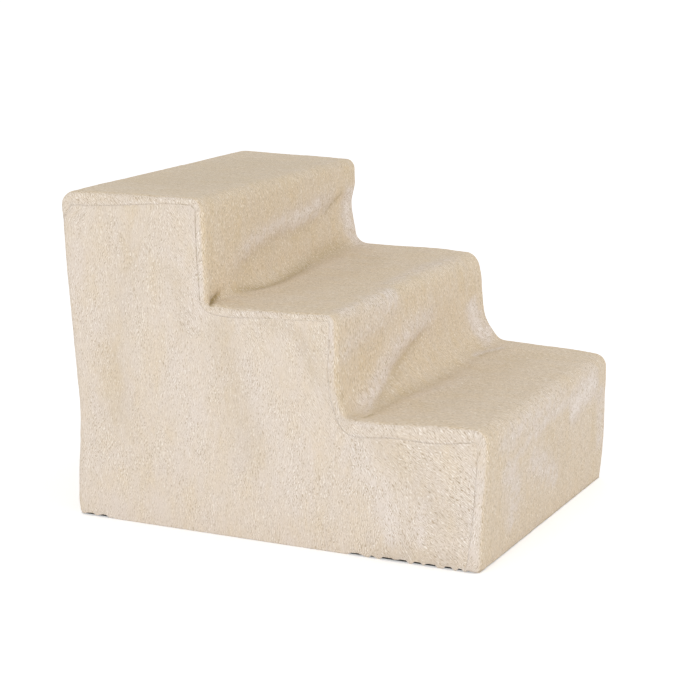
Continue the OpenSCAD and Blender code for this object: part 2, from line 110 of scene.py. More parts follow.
class Graph:
    """Adds nodes to a shader tree and links them by short calls."""

    def __init__(self, tree: NodeTree) -> None:
        """Keep the tree.

        Args:
            tree: The tree of a material, a world or a node group.
        """
        self.tree = tree

    def add(self, kind: str, inputs: dict | None = None, **settings: object) -> Node:
        """Add one node.

        Args:
            kind: The node's type without its ShaderNode prefix.
            inputs: Values or sockets for its inputs, by name or place.
            settings: The node's own settings.

        Returns:
            The node.
        """
        node = self.tree.nodes.new("ShaderNode" + kind)
        for key, value in settings.items():
            setattr(node, key, value)
        for key, value in (inputs or {}).items():
            self.feed(node.inputs[key], value)
        return node

    def feed(self, socket: NodeSocket, value: object) -> None:
        """Link a socket to another one, or set its value.

        Args:
            socket: The input.
            value: A socket to link, or a value.
        """
        if isinstance(value, NodeSocket):
            self.tree.links.new(value, socket)
        else:
            socket.default_value = value

    def dress(self, shader: Node, inputs: dict[str, object]) -> None:
        """Feed a shader's inputs, by name."""
        for key, value in inputs.items():
            self.feed(shader.inputs[key], value)

    def math(self, operation: str, a: object, b: object = 0.0) -> NodeSocket:
        """Return the result of a Math node on a and b."""
        return self.add("Math", {0: a, 1: b}, operation=operation).outputs[0]

    def spread(self, value: object, low: float, high: float, to: tuple[float, float] = UNIT) -> NodeSocket:
        """Return value stretched from the range low to high onto the range to, and clamped there."""
        inputs = {"Value": value, "From Min": low, "From Max": high, "To Min": to[0], "To Max": to[1]}
        return self.add("MapRange", inputs, clamp=True).outputs[0]

    def mix(self, factor: object, a: object, b: object, blend: str = "MIX") -> NodeSocket:
        """Return the mix of two colours."""
        colours = [(*c, 1.0) if isinstance(c, tuple) and len(c) == 3 else c for c in (a, b)]
        node = self.add("Mix", {0: factor, 6: colours[0], 7: colours[1]}, data_type="RGBA", blend_type=blend)
        return node.outputs[2]

    def blend(self, factor: object, a: object, b: object) -> NodeSocket:
        """Return the mix of two numbers."""
        return self.add("Mix", {0: factor, 2: a, 3: b}, data_type="FLOAT").outputs[0]

    def noise(self, place: object, scale: float, detail: float = 2.0, rough: float = 0.5) -> NodeOutputs:
        """Return the outputs of a Noise Texture node."""
        inputs = {"Vector": place, "Scale": scale, "Detail": detail, "Roughness": rough}
        return self.add("TexNoise", inputs).outputs

    def vector(self, operation: str, a: object, b: object) -> NodeSocket:
        """Return the result of a Vector Math node on a and b, where b is a number to scale by it."""
        second = 3 if operation == "SCALE" else 1
        return self.add("VectorMath", {0: a, second: b}, operation=operation).outputs[0]

    def group(self, tree: NodeTree, inputs: dict[str, object]) -> NodeOutputs:
        """Add a node that holds a group, feed its inputs and return its outputs."""
        node = self.add("Group", node_tree=tree)
        self.dress(node, inputs)
        return node.outputs

    def in_mm(self, place: object, along: float = 1.0) -> NodeSocket:
        """Return a place given in metres in millimetres, with Y scaled by along."""
        return self.add("Mapping", {"Vector": place, "Scale": (1000.0, 1000.0 * along, 1000.0)}).outputs[0]

    def bump(self, height: object, strength: float, relief: float) -> NodeSocket:
        """Return the normals of a relief of that many millimetres."""
        return self.add("Bump", {"Height": height, "Strength": strength, "Distance": relief * MM}).outputs[0]


class GroupBuilder:
    """Makes one shader node group with named inputs and outputs."""

    def __init__(self, name: str, inputs: dict[str, object], outputs: dict[str, str]) -> None:
        """Make the group's sockets.

        Args:
            name: The group's name.
            inputs: Default values by name; a tuple of three makes a vector socket.
            outputs: Socket types by name.
        """
        self.tree = bpy.data.node_groups.new(name, "ShaderNodeTree")
        for key, value in inputs.items():
            kind = "NodeSocketVector" if isinstance(value, tuple) else FLOAT
            self.tree.interface.new_socket(key, in_out="INPUT", socket_type=kind).default_value = value
        for key, kind in outputs.items():
            self.tree.interface.new_socket(key, in_out="OUTPUT", socket_type=kind)
        self.graph = Graph(self.tree)
        self.input = self.tree.nodes.new("NodeGroupInput").outputs
        self.output = self.tree.nodes.new("NodeGroupOutput").inputs

    def put(self, **values: NodeSocket) -> NodeTree:
        """Feed the group's outputs, and return the group."""
        for key, value in values.items():
            self.graph.feed(self.output[key], value)
        return self.tree


# Turns of the layers of strands against the cloth, from loose to combed right over
STRAND_TURNS = (0.10, -0.22, 0.46, 0.92)


@cache
def pile_group() -> NodeTree:
    """Short plush pile: fine strands that lie along the cloth in patches, and lean over where combed.

    The vector is in millimetres on the cloth.

    Returns:
        The group.
    """
    b = GroupBuilder(
        "pile",
        {"Vector": (0.0, 0.0, 0.0), "Strand Pitch": 2.5, "Strand Length": 5.0, "Curl": 1.8, "Comb": 0.0},
        {"Strand": FLOAT, "Gap": FLOAT, "Fleck": FLOAT, "Clump": FLOAT, "Height": FLOAT},
    )
    g = b.graph
    wander = g.noise(b.input["Vector"], 0.10, 1.0)["Color"]
    centred = g.vector("SUBTRACT", wander, (0.5, 0.5, 0.5))
    curl = g.vector("SCALE", centred, b.input["Curl"])
    bent = g.vector("ADD", b.input["Vector"], curl)
    size = g.add("CombineXYZ", {0: b.input["Strand Pitch"], 1: b.input["Strand Length"], 2: 1.0}).outputs[0]
    strands = []
    for turn in STRAND_TURNS:
        leant = g.add("VectorRotate", {"Vector": bent, "Angle": turn}, rotation_type="Z_AXIS").outputs[0]
        cells = g.vector("DIVIDE", leant, size)
        across = g.add("SeparateXYZ", {0: cells}).outputs[0]
        drift = g.math("MULTIPLY", g.noise(cells, 0.85, 1.0)["Fac"], 2.6)
        wave = g.math("SINE", g.math("MULTIPLY", g.math("ADD", across, drift), 2 * math.pi))
        strands.append(g.spread(wave, -1.0, 1.0))
    patch = g.noise(b.input["Vector"], 0.050, 1.0)["Fac"]
    comb = g.math("ADD", b.input["Comb"], g.math("MULTIPLY", g.math("SUBTRACT", patch, 0.5), 0.9))
    loose = g.blend(g.spread(patch, 0.47, 0.53), strands[0], strands[1])
    leaning = g.blend(g.spread(comb, 0.24, 0.36), loose, strands[2])
    pile = g.blend(g.spread(comb, 0.60, 0.72), leaning, strands[3])
    length = g.spread(g.noise(bent, 0.45, 1.0)["Fac"], 0.30, 0.65, (0.35, 1.0))
    strand = g.blend(length, 0.5, pile)
    # masks for the painted shade between the strands and the painted glints on their tips
    gap = g.spread(strand, 0.0, 0.35, (1.0, 0.0))
    fleck = g.spread(strand, 0.65, 1.0)
    clump = g.spread(g.noise(bent, 0.16, 3.0, 0.55)["Fac"], 0.32, 0.68)
    height = g.math("ADD", g.math("MULTIPLY", strand, 0.85), g.math("MULTIPLY", clump, 0.15))
    return b.put(Strand=strand, Gap=gap, Fleck=fleck, Clump=clump, Height=height)


@cache
def mottle_group() -> NodeTree:
    """Broad soft patches of two tones, as where a hand has brushed the pile.

    Returns:
        The group.
    """
    b = GroupBuilder("mottle", {"Vector": (0.0, 0.0, 0.0), "Size": 45.0}, {"Warm": FLOAT, "Light": FLOAT})
    g = b.graph
    near = g.vector("DIVIDE", b.input["Vector"], b.input["Size"])
    warm = g.spread(g.noise(near, 1.0, 3.0, 0.55)["Fac"], 0.36, 0.66)
    aside = g.vector("ADD", near, (7.3, 2.9, 4.1))
    light = g.spread(g.noise(aside, 1.6, 3.0, 0.6)["Fac"], 0.36, 0.66)
    return b.put(Warm=warm, Light=light)


@cache
def mould_group() -> NodeTree:
    """Fine spark-eroded texture of moulded plastic, with rubbed places. The vector is in metres.

    Returns:
        The group.
    """
    b = GroupBuilder(
        "mould_grain",
        {"Vector": (0.0, 0.0, 0.0), "Grain Size": 0.6},
        {"Grain": FLOAT, "Scuff": FLOAT, "Height": FLOAT},
    )
    g = b.graph
    fine = g.vector("SCALE", b.input["Vector"], 1000.0)
    cells = g.vector("DIVIDE", fine, b.input["Grain Size"])
    grain = g.spread(g.noise(cells, 1.0, 2.0, 0.6)["Fac"], 0.3, 0.7)
    broad = g.noise(fine, 0.02, 4.0, 0.65)["Fac"]
    scuff = g.spread(broad, 0.55, 0.75)
    height = g.math("MULTIPLY", grain, g.math("SUBTRACT", 1.0, g.math("MULTIPLY", scuff, 0.6)))
    return b.put(Grain=grain, Scuff=scuff, Height=height)


@cache
def weave_group() -> NodeTree:
    """Plain weave of a narrow tape: warp and weft threads. The vector is in millimetres along the tape.

    Returns:
        The group.
    """
    b = GroupBuilder("weave", {"Vector": (0.0, 0.0, 0.0), "Pitch": 0.8}, {"Thread": FLOAT, "Height": FLOAT})
    g = b.graph
    turn = g.math("DIVIDE", 2 * math.pi, b.input["Pitch"])
    split = g.add("SeparateXYZ", {0: b.input["Vector"]}).outputs
    warp = g.math("SINE", g.math("MULTIPLY", split[0], turn))
    weft = g.math("SINE", g.math("MULTIPLY", split[1], turn))
    thread = g.spread(g.math("MULTIPLY", warp, weft), -1.0, 1.0)
    fuzz = g.noise(b.input["Vector"], 2.0, 2.0, 0.6)["Fac"]
    height = g.math("ADD", g.math("MULTIPLY", thread, 0.7), g.math("MULTIPLY", fuzz, 0.3))
    return b.put(Thread=thread, Height=height)


def new_material(name: str) -> tuple[Material, Graph, Node]:
    """Make an empty node material.

    Args:
        name: The material's name.

    Returns:
        The material, a graph on its tree and its Principled BSDF.
    """
    material = bpy.data.materials.new(name)
    material.use_nodes = True
    tree = material.node_tree
    return material, Graph(tree), tree.nodes["Principled BSDF"]


@dataclass(frozen=True)
class Tones:
    """Colours of the pile where it lies one way."""

    root: Colour
    tip: Colour
    # painted shade between the strands
    gap: Colour
    warm: Colour
    pale: Colour
    # painted sheen on crushed pile
    crushed_sheen_tone: Colour


@dataclass(frozen=True)
class PlushFinish:
    """Short cream plush: brushed flat on the steps, turned to the light at the sides, crushed in folds; light
    and shade are partly painted into its colour.
    """

    name: str
    steps: Tones
    sides: Tones
    # colours of the painted shade in creases and seams, of the painted highlight where the sheen is
    # strongest, and of the painted glints on strand tips
    fold: Colour = (0.40, 0.29, 0.12)
    lit: Colour = (0.83, 0.745, 0.685)
    fleck: Colour = (0.97, 0.91, 0.84)
    strand_pitch: float = 1.7
    strand_length: float = 3.9
    contrast: float = 1.25
    relief: float = 0.5
    patch: float = 26.0
    mottling: float = 0.62

    def material(self) -> Material:
        """Return the plush, on the cloth map and the attributes that say how its pile lies.

        Returns:
            The material.
        """
        material, g, shader = new_material(self.name)
        flat = g.add("UVMap", uv_map="cloth").outputs[0]
        cloth, drawn = g.in_mm(flat), g.in_mm(flat, 0.42)
        fold, sheen, comb, aside, loft = (
            g.add("Attribute", attribute_name=name).outputs["Fac"]
            for name in ("fold", "sheen", "comb", "aside", "loft")
        )
        size = {"Strand Pitch": self.strand_pitch, "Strand Length": self.strand_length}
        pile = g.group(pile_group(), {"Vector": cloth, "Comb": comb, **size})
        mottle = g.group(mottle_group(), {"Vector": drawn, "Size": self.patch})
        lay = g.blend(loft, 0.5, pile["Strand"])
        # the steps' darker, yellower tones and the sides' paler tones: partly how the pile lies, partly
        # painted shade and painted light
        steps, sides = (self._toned(g, lay, mottle, tones) for tones in (self.steps, self.sides))
        toned = g.mix(aside, steps, sides)
        # painted sheen on crushed pile, turning to a painted highlight where it is strongest
        crushed_sheen = g.mix(aside, self.steps.crushed_sheen_tone, self.sides.crushed_sheen_tone)
        crushed_sheen_tone = g.mix(g.spread(sheen, 0.0, 0.5), toned, crushed_sheen)
        lit = g.mix(g.spread(sheen, 0.5, 1.0), crushed_sheen_tone, self.lit)
        # painted shade in creases and along the seams
        creased = g.mix(fold, lit, self.fold)
        shade = g.spread(pile["Clump"], *UNIT, (0.975, 1.02))
        shades = g.add("CombineXYZ", {0: shade, 1: shade, 2: shade}).outputs[0]
        clumped = g.mix(1.0, creased, shades, "MULTIPLY")
        # painted shade between the strands and painted glints on their tips, stronger where the pile is open
        depth = g.math("MULTIPLY", loft, self.contrast)
        gap = g.mix(aside, self.steps.gap, self.sides.gap)
        dug = g.mix(g.math("MULTIPLY", pile["Gap"], depth), clumped, gap)
        glinted = g.mix(g.math("MULTIPLY", pile["Fleck"], g.math("MULTIPLY", depth, 0.7)), dug, self.fleck)
        height = g.math("MULTIPLY", pile["Height"], g.spread(loft, *UNIT, (0.3, 1.0)))
        g.dress(shader, {
            "Base Color": glinted,
            "Roughness": g.spread(pile["Strand"], *UNIT, (0.95, 0.8)),
            "Normal": g.bump(height, 0.6, self.relief),
            "Specular IOR Level": 0.12,
            "Sheen Weight": 0.2,
            "Sheen Roughness": 0.45,
            "Sheen Tint": (1.0, 0.96, 0.93, 1.0),
        })
        return material

    def _toned(self, g: Graph, lay: NodeSocket, mottle: NodeOutputs, tones: Tones) -> NodeSocket:
        """Return the strands in one set of tones, warmer and paler in patches."""
        strand = g.mix(lay, tones.root, tones.tip)
        warmed = g.mix(g.math("MULTIPLY", mottle["Warm"], self.mottling), strand, tones.warm)
        return g.mix(g.math("MULTIPLY", mottle["Light"], self.mottling), warmed, tones.pale)


@dataclass(frozen=True)
class BackingFinish:
    """The smooth knitted back of the plush, on the cloth map."""

    name: str = "knit_backing"
    colour: Colour = (0.72, 0.66, 0.56)
    lift: Colour = (0.84, 0.79, 0.70)
    pitch: float = 1.3

    def material(self) -> Material:
        """Return the knit.

        Returns:
            The material.
        """
        material, g, shader = new_material(self.name)
        flat = g.add("UVMap", uv_map="cloth").outputs[0]
        knit = g.group(weave_group(), {"Vector": g.in_mm(flat), "Pitch": self.pitch})
        g.dress(shader, {
            "Base Color": g.mix(knit["Thread"], self.colour, self.lift),
            "Roughness": 0.92,
            "Normal": g.bump(knit["Height"], 0.6, 0.3),
            "Specular IOR Level": 0.15,
        })
        return material


@dataclass(frozen=True)
class MouldedFinish:
    """Fine-textured moulded plastic, rubbed a little in broad places."""

    name: str
    colour: Colour
    rubbed: Colour
    roughness: float = 0.55
    grain: float = 0.7

    def material(self) -> Material:
        """Return the plastic, on object coordinates.

        Returns:
            The material.
        """
        material, g, shader = new_material(self.name)
        place = g.add("TexCoord").outputs["Object"]
        mould = g.group(mould_group(), {"Vector": place, "Grain Size": self.grain})
        grain_rough = g.spread(mould["Grain"], *UNIT, (self.roughness - 0.06, self.roughness + 0.08))
        g.dress(shader, {
            "Base Color": g.mix(g.math("MULTIPLY", mould["Scuff"], 0.5), self.colour, self.rubbed),
            "Roughness": g.math("ADD", grain_rough, g.math("MULTIPLY", mould["Scuff"], -0.12)),
            "Normal": g.bump(mould["Height"], 0.35, 0.2),
            "Specular IOR Level": 0.4,
        })
        return material


@dataclass(frozen=True)
class ZincFinish:
    """Zinc-plated steel with a cloudy, slightly blue passivation."""

    name: str = "zinc_plate"
    colour: Colour = (0.62, 0.64, 0.68)
    straw: Colour = (0.72, 0.70, 0.64)
    cloud: float = 3.0

    def material(self) -> Material:
        """Return the plated steel.

        Returns:
            The material.
        """
        material, g, shader = new_material(self.name)
        place = g.in_mm(g.add("TexCoord").outputs["Object"])
        cloud = g.group(mottle_group(), {"Vector": place, "Size": self.cloud})
        g.dress(shader, {
            "Base Color": g.mix(cloud["Warm"], self.colour, self.straw),
            "Roughness": g.spread(cloud["Light"], *UNIT, (0.28, 0.42)),
            "Metallic": 1.0,
        })
        return material


@dataclass(frozen=True)
class TapeFinish:
    """Narrow black tape: a plain weave, or the loops or hooks that stand on it."""

    name: str
    colour: Colour
    lift: Colour
    pitch: float = 0.8
    roughness: float = 0.85
    relief: float = 0.35
    sheen: float = 0.15

    def material(self) -> Material:
        """Return the tape, on object coordinates.

        Returns:
            The material.
        """
        material, g, shader = new_material(self.name)
        split = g.add("SeparateXYZ", {0: g.in_mm(g.add("TexCoord").outputs["Object"])}).outputs
        along = g.add("CombineXYZ", {0: g.math("ADD", split[0], split[1]), 1: split[2]}).outputs[0]
        weave = g.group(weave_group(), {"Vector": along, "Pitch": self.pitch})
        g.dress(shader, {
            "Base Color": g.mix(weave["Thread"], self.colour, self.lift),
            "Roughness": g.spread(weave["Height"], *UNIT, (self.roughness, self.roughness - 0.2)),
            "Normal": g.bump(weave["Height"], 0.8, self.relief),
            "Sheen Weight": self.sheen,
            "Specular IOR Level": 0.2,
        })
        return material


# The sides' tones are paler than the steps': partly how the pile lies, partly painted light on the sides and
# painted shade on the steps.
PLUSH = PlushFinish(
    "cream_plush",
    steps=Tones(root=(0.58, 0.465, 0.315), tip=(0.84, 0.69, 0.50), gap=(0.47, 0.365, 0.235),
                warm=(0.68, 0.545, 0.36), pale=(0.71, 0.60, 0.475), crushed_sheen_tone=(0.74, 0.64, 0.555)),
    sides=Tones(root=(0.62, 0.525, 0.42), tip=(0.89, 0.795, 0.69), gap=(0.50, 0.40, 0.29),
                warm=(0.75, 0.625, 0.465), pale=(0.765, 0.68, 0.615), crushed_sheen_tone=(0.79, 0.705, 0.635)),
)
BINDING = TapeFinish("black_binding", (0.008, 0.008, 0.008), (0.03, 0.03, 0.03), 0.7, sheen=0.0)
BACKING = BackingFinish()
LOOPS = TapeFinish("loop_pile", (0.015, 0.015, 0.017), (0.07, 0.07, 0.075), 0.5, 0.95, 0.5, 0.4)
HOOKS = TapeFinish("hook_rows", (0.01, 0.01, 0.011), (0.09, 0.09, 0.095), 1.0, 0.5, 0.6, 0.0)
DARK_PLASTIC = MouldedFinish("dark_polypropylene", (0.045, 0.045, 0.05), (0.085, 0.085, 0.09))
GREY_PLASTIC = MouldedFinish("grey_polypropylene", (0.09, 0.09, 0.095), (0.14, 0.14, 0.145))
RUBBER = MouldedFinish("foot_rubber", (0.02, 0.02, 0.02), (0.05, 0.048, 0.045), 0.82, 0.4)


# Pieces


def as_mesh(bm: BMesh, name: str) -> Mesh:
    """Return a bmesh as a mesh, and free it.

    Args:
        bm: The bmesh, which is used up.
        name: The mesh's name.

    Returns:
        The mesh.
    """
    mesh = bpy.data.meshes.new(name)
    bm.to_mesh(mesh)
    bm.free()
    return mesh


def rounded(bm: BMesh, geom: list[BMEdge] | list[BMVert], radius: float, segments: int) -> None:
    """Round edges, or the corners of a flat shape."""
    affect = "EDGES" if isinstance(geom[0], BMEdge) else "VERTICES"
    bmesh.ops.bevel(bm, geom=geom, offset=radius, offset_type="OFFSET", segments=segments, profile=0.5,
                    affect=affect, material=-1)


def sharp_edges(bm: BMesh) -> list[BMEdge]:
    """Return the edges where faces meet at more than a slight angle."""
    return [e for e in bm.edges if e.calc_face_angle(0.0) > 1.0]


def extruded(bm: BMesh, faces: list[BMFace], height: float) -> list[BMVert]:
    """Extrude faces along Z, and return their new vertices."""
    verts = [v for v in bmesh.ops.extrude_face_region(bm, geom=faces)["geom"] if isinstance(v, BMVert)]
    bmesh.ops.translate(bm, vec=(0, 0, height), verts=verts)
    return verts


def sliced(bm: BMesh, way: Point, low: float, high: float, pitch: float) -> None:
    """Cut a flat mesh into even slices, about as wide as the pitch, from low to high along a direction.

    Args:
        bm: The flat mesh.
        way: The direction.
        low: Where the slices start along it.
        high: Where they end.
        pitch: About how wide they are.
    """
    count = round((high - low) / pitch)
    for k in range(1, count):
        at = low + (high - low) * k / count
        bmesh.ops.bisect_plane(bm, geom=bm.verts[:] + bm.edges[:] + bm.faces[:], dist=CUT_GAP,
                               plane_co=Vector(way) * at, plane_no=way)


def add_piece(
    name: str,
    shape: BMesh | Mesh,
    material: Material,
    body: Body,
    slot: Slot,
    replaces: Sequence[str] = (),
) -> Object:
    """Put a finished mesh into the scene.

    Args:
        name: The piece's name.
        shape: Its mesh, or a bmesh, which is used up.
        material: Its material.
        body: The body that it rides on.
        slot: The record's material slot; not used.
        replaces: The CAD nodes that it stands for.

    Returns:
        The piece.
    """
    mesh = as_mesh(shape, name) if isinstance(shape, BMesh) else shape
    mesh.materials.append(material)
    mesh.polygons.foreach_set("use_smooth", [True] * len(mesh.polygons))
    piece = bpy.data.objects.new(name, mesh)
    bpy.context.scene.collection.objects.link(piece)
    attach(piece, body.value)
    if replaces:
        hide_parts(*replaces)
    log.info("%s: %d faces", name, len(mesh.polygons))
    return piece


def coordinates(mesh: Mesh) -> np.ndarray:
    """Return the mesh's vertices as an array of rows x, y, z."""
    flat = np.empty(len(mesh.vertices) * 3)
    mesh.vertices.foreach_get("co", flat)
    return flat.reshape(-1, 3)


def put_coordinates(mesh: Mesh, points: np.ndarray) -> None:
    """Move the mesh's vertices."""
    mesh.vertices.foreach_set("co", points.ravel())
    mesh.update()


def put_attribute(mesh: Mesh, name: str, values: np.ndarray) -> None:
    """Keep one number for each vertex, for the material to read."""
    mesh.attributes.new(name, "FLOAT", "POINT").data.foreach_set("value", values.astype(np.float32))


def put_cloth_map(mesh: Mesh, flat: np.ndarray) -> None:
    """Keep the cloth's flat coordinates, in metres, as its UV map.

    Args:
        mesh: The mesh.
        flat: One row of two coordinates for each vertex.
    """
    corners = np.empty(len(mesh.loops), dtype=np.int32)
    mesh.loops.foreach_get("vertex_index", corners)
    layer = mesh.uv_layers.new(name="cloth")
    layer.uv.foreach_set("vector", flat[corners].astype(np.float32).ravel())


def smooth(value: np.ndarray, low: float, high: float) -> np.ndarray:
    """Return a smooth step from 0 at low to 1 at high."""
    t = np.clip((value - low) / (high - low), 0.0, 1.0)
    return t * t * (3.0 - 2.0 * t)


def bell(value: np.ndarray, centre: float, width: float) -> np.ndarray:
    """Return a bell curve of height 1."""
    return np.exp(-(((value - centre) / width) ** 2))


def grain(points: np.ndarray, size: float, seed: float = 0.0) -> np.ndarray:
    """Return smooth noise from -1 to 1 at each point.

    Args:
        points: Rows x, y, z in metres.
        size: The size of its lumps in metres.
        seed: A shift that gives another pattern.

    Returns:
        One number for each point.
    """
    scaled = points / size + seed
    return np.array([noise.noise(p) for p in scaled])


def hermite(t: float | np.ndarray) -> tuple:
    """Return the weights in a cubic curve of its start, its first slope, its end and its last slope."""
    return 2 * t**3 - 3 * t**2 + 1, t**3 - 2 * t**2 + t, 3 * t**2 - 2 * t**3, t**3 - t**2


def stretches(points: np.ndarray, line: np.ndarray) -> Iterable[tuple[np.ndarray, np.ndarray]]:
    """Yield the distance of each point from each stretch of a line, and its share along it.

    Args:
        points: One row for each point.
        line: One row for each point of the line.

    Yields:
        The distances and the shares, for one stretch after the other.
    """
    for start, end in zip(line[:-1], line[1:]):
        step = end - start
        t = np.clip((points - start) @ step / (step @ step), 0.0, 1.0)
        yield np.linalg.norm(points - start - t[:, None] * step, axis=1), t


def eased(value: np.ndarray, at: Sequence[float], heights: Sequence[float]) -> np.ndarray:
    """Return a smooth curve through a few heights.

    Args:
        value: Where to read the curve.
        at: Places of the heights, rising.
        heights: The heights there.

    Returns:
        The curve at each value.
    """
    x, y = np.array(at), np.array(heights)
    slope = np.gradient(y, x)
    v = np.clip(value, x[0], x[-1])
    i = np.clip(np.searchsorted(x, v, side="right") - 1, 0, len(x) - 2)
    h = x[i + 1] - x[i]
    start, leave, end, reach = hermite((v - x[i]) / h)
    return start * y[i] + leave * h * slope[i] + end * y[i + 1] + reach * h * slope[i + 1]


# The stepped outline


@dataclass(frozen=True)
class Outline:
    """Outer planes and radii of the finished cover."""

    half_w: float
    front: float
    middle: float
    upper: float
    rear: float
    hem: float
    lower_z: float
    middle_z: float
    upper_z: float
    lower_nosing_r: tuple[float, float] = (0.014, 0.013)
    middle_nosing_r: tuple[float, float] = (0.011, 0.013)
    upper_nosing_r: tuple[float, float] = (0.014, 0.010)
    back_r: float = 0.015
    edge_r: float = 0.006
    seam: float = 0.012
    tuck_w: float = 0.0016
    tuck_depth: float = 0.0003
    pinch_r: float = 0.0035
    lower_bridge_r: float = 0.028
    upper_bridge_r: float = 0.015

    @classmethod
    def from_frame(cls) -> "Outline":
        """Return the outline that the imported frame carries.

        Returns:
            The outline.
        """
        low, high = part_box("cover_step_strip")
        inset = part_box("tread_lower")[0].y - low.y
        treads = [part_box(f"tread_{name}") for name in ("lower", "middle", "upper")]
        return cls(
            half_w=high.x,
            front=low.y,
            middle=treads[1][0].y - inset,
            upper=treads[2][0].y - inset,
            rear=high.y,
            hem=low.z,
            lower_z=treads[0][1].z + inset,
            middle_z=treads[1][1].z + inset,
            upper_z=high.z,
        )

    def corners(self) -> np.ndarray:
        """Return the sharp corners in Y and Z, from the front hem over the steps to the rear hem.

        Returns:
            One row of Y and Z for each corner.
        """
        return np.array([
            (self.front, self.hem),
            (self.front, self.lower_z),
            (self.middle, self.lower_z),
            (self.middle, self.middle_z),
            (self.upper, self.middle_z),
            (self.upper, self.upper_z),
            (self.rear, self.upper_z),
            (self.rear, self.hem),
        ])

    def radii(self, x: np.ndarray) -> list[np.ndarray]:
        """Return the radius at each corner, at places across the width.

        Args:
            x: Places across the width.

        Returns:
            One array for each corner.
        """
        zero, share = np.zeros_like(x), np.clip((x / self.half_w + 1.0) / 2.0, 0.0, 1.0)
        nosings = [near + (far - near) * share
                   for near, far in (self.lower_nosing_r, self.middle_nosing_r, self.upper_nosing_r)]
        lower = self.pinch_r + (self.lower_bridge_r - self.pinch_r) * smooth(x, -0.174, -0.060)
        upper = self.pinch_r + (self.upper_bridge_r - self.pinch_r) * smooth(x, -0.174, -0.110)
        return [zero, nosings[0], lower, nosings[1], upper, nosings[2], np.full_like(x, self.back_r), zero]


# How far the seam lies inside the edge, in millimetres, at a share of a span of the path. Spans with an
# even number are straight, from the front hem up, and those between them are the bends.
SEAM_DEPTHS = (
    (0, 0.0, 15.5), (0, 0.35, 10.5), (0, 0.75, 10.0), (1, 0.5, 11.0), (2, 0.25, 16.5), (2, 0.6, 14.0),
    (2, 0.95, 16.0), (3, 0.5, 12.0), (4, 0.4, 10.0), (4, 0.9, 8.5), (5, 0.5, 7.0), (6, 0.2, 6.6),
    (6, 0.6, 7.4), (6, 0.97, 9.0), (7, 0.5, 7.0), (8, 0.2, 8.0), (8, 0.8, 9.0), (9, 0.5, 8.0),
    (10, 0.1, 6.8), (10, 0.4, 9.5), (10, 0.75, 12.8), (11, 0.5, 13.5), (12, 0.2, 12.0), (12, 1.0, 12.0),
)


class StepPath:
    """Places flat cloth on the stepped outline."""

    def __init__(self, outline: Outline) -> None:
        """Measure the path.

        Args:
            outline: The outline to follow.
        """
        self.outline = outline
        corners = outline.corners()
        self.steps = np.diff(corners, axis=0)
        self.lengths = np.linalg.norm(self.steps, axis=1)
        self.ways = self.steps / self.lengths[:, None]
        radii = [float(r[0]) for r in outline.radii(np.zeros(1))]
        spans = []
        for i, length in enumerate(self.lengths):
            spans.append(length - radii[i] - radii[i + 1])
            if i < len(self.lengths) - 1:
                spans.append(radii[i + 1] * math.pi / 2)
        self.spans = np.array(spans)
        self.marks = np.concatenate([[0.0], np.cumsum(self.spans)])
        self.seam_at = np.array([self.marks[k] + share * self.spans[k] for k, share, _ in SEAM_DEPTHS])

    def seam(self, along: np.ndarray) -> np.ndarray:
        """Return how far inside the edge the seam lies, in metres."""
        return eased(along, self.seam_at, [depth for _, _, depth in SEAM_DEPTHS]) * MM

    def seam_line(self, side: Side, count: int = 300) -> np.ndarray:
        """Return the seam of one side as rows of Y and Z, from the front hem to the rear hem."""
        along = np.linspace(0.0, self.length - 1e-9, count)
        x = np.full(count, side.value * self.outline.half_w)
        return self.place(along, x, self.seam(along))

    def steepness(self, along: np.ndarray) -> np.ndarray:
        """Return 1 where the path stands upright, 0 where it lies level, and between them in the bends.

        Args:
            along: Distance along the path from the front hem.

        Returns:
            One number for each place.
        """
        k, share = self._find(along)
        upright = np.abs(self.ways[:, 1])
        here, after = upright[k // 2], upright[np.minimum(k // 2 + 1, len(upright) - 1)]
        return np.where(k % 2 == 0, here, here + (after - here) * share)

    def _find(self, along: np.ndarray) -> tuple[np.ndarray, np.ndarray]:
        """Return each place's span, and its share of it."""
        k = np.clip(np.searchsorted(self.marks, along, side="right") - 1, 0, len(self.spans) - 1)
        return k, (along - self.marks[k]) / self.spans[k]

    @property
    def length(self) -> float:
        """The cloth's length along the path."""
        return float(self.marks[-1])

    def place(self, along: np.ndarray, x: np.ndarray, depth: np.ndarray) -> np.ndarray:
        """Return Y and Z of points of the cloth.

        Args:
            along: Distance along the path from the front hem.
            x: Place across the width.
            depth: Distance inside the outer planes.

        Returns:
            One row of Y and Z for each point.
        """
        corners, radii = self.outline.corners(), self.outline.radii(x)
        k, share = self._find(along)
        placed = np.empty((len(along), 2))
        for i, way in enumerate(self.ways):
            out = np.array([-way[1], way[0]])
            here = k == 2 * i
            run = self.lengths[i] - radii[i][here] - radii[i + 1][here]
            go = radii[i][here] + share[here] * run
            placed[here] = corners[i] + np.outer(go, way) - np.outer(depth[here], out)
            here = k == 2 * i + 1
            if not here.any():
                continue
            after = self.ways[i + 1]
            bulge = 1.0 if way[0] * after[1] - way[1] * after[0] < 0 else -1.0
            r = radii[i + 1][here]
            start = corners[i + 1] - np.outer(r, way)
            centre = start - bulge * np.outer(r, out)
            turn = share[here] * math.pi / 2
            reach = r - bulge * depth[here]
            placed[here] = (
                centre + bulge * np.outer(np.cos(turn) * reach, out) + np.outer(np.sin(turn) * reach, way)
            )
        return placed


# How the cloth lies


class Crest(Enum):
    """The cross-section of a fold."""

    SOFT = "soft"
    CRISP = "crisp"


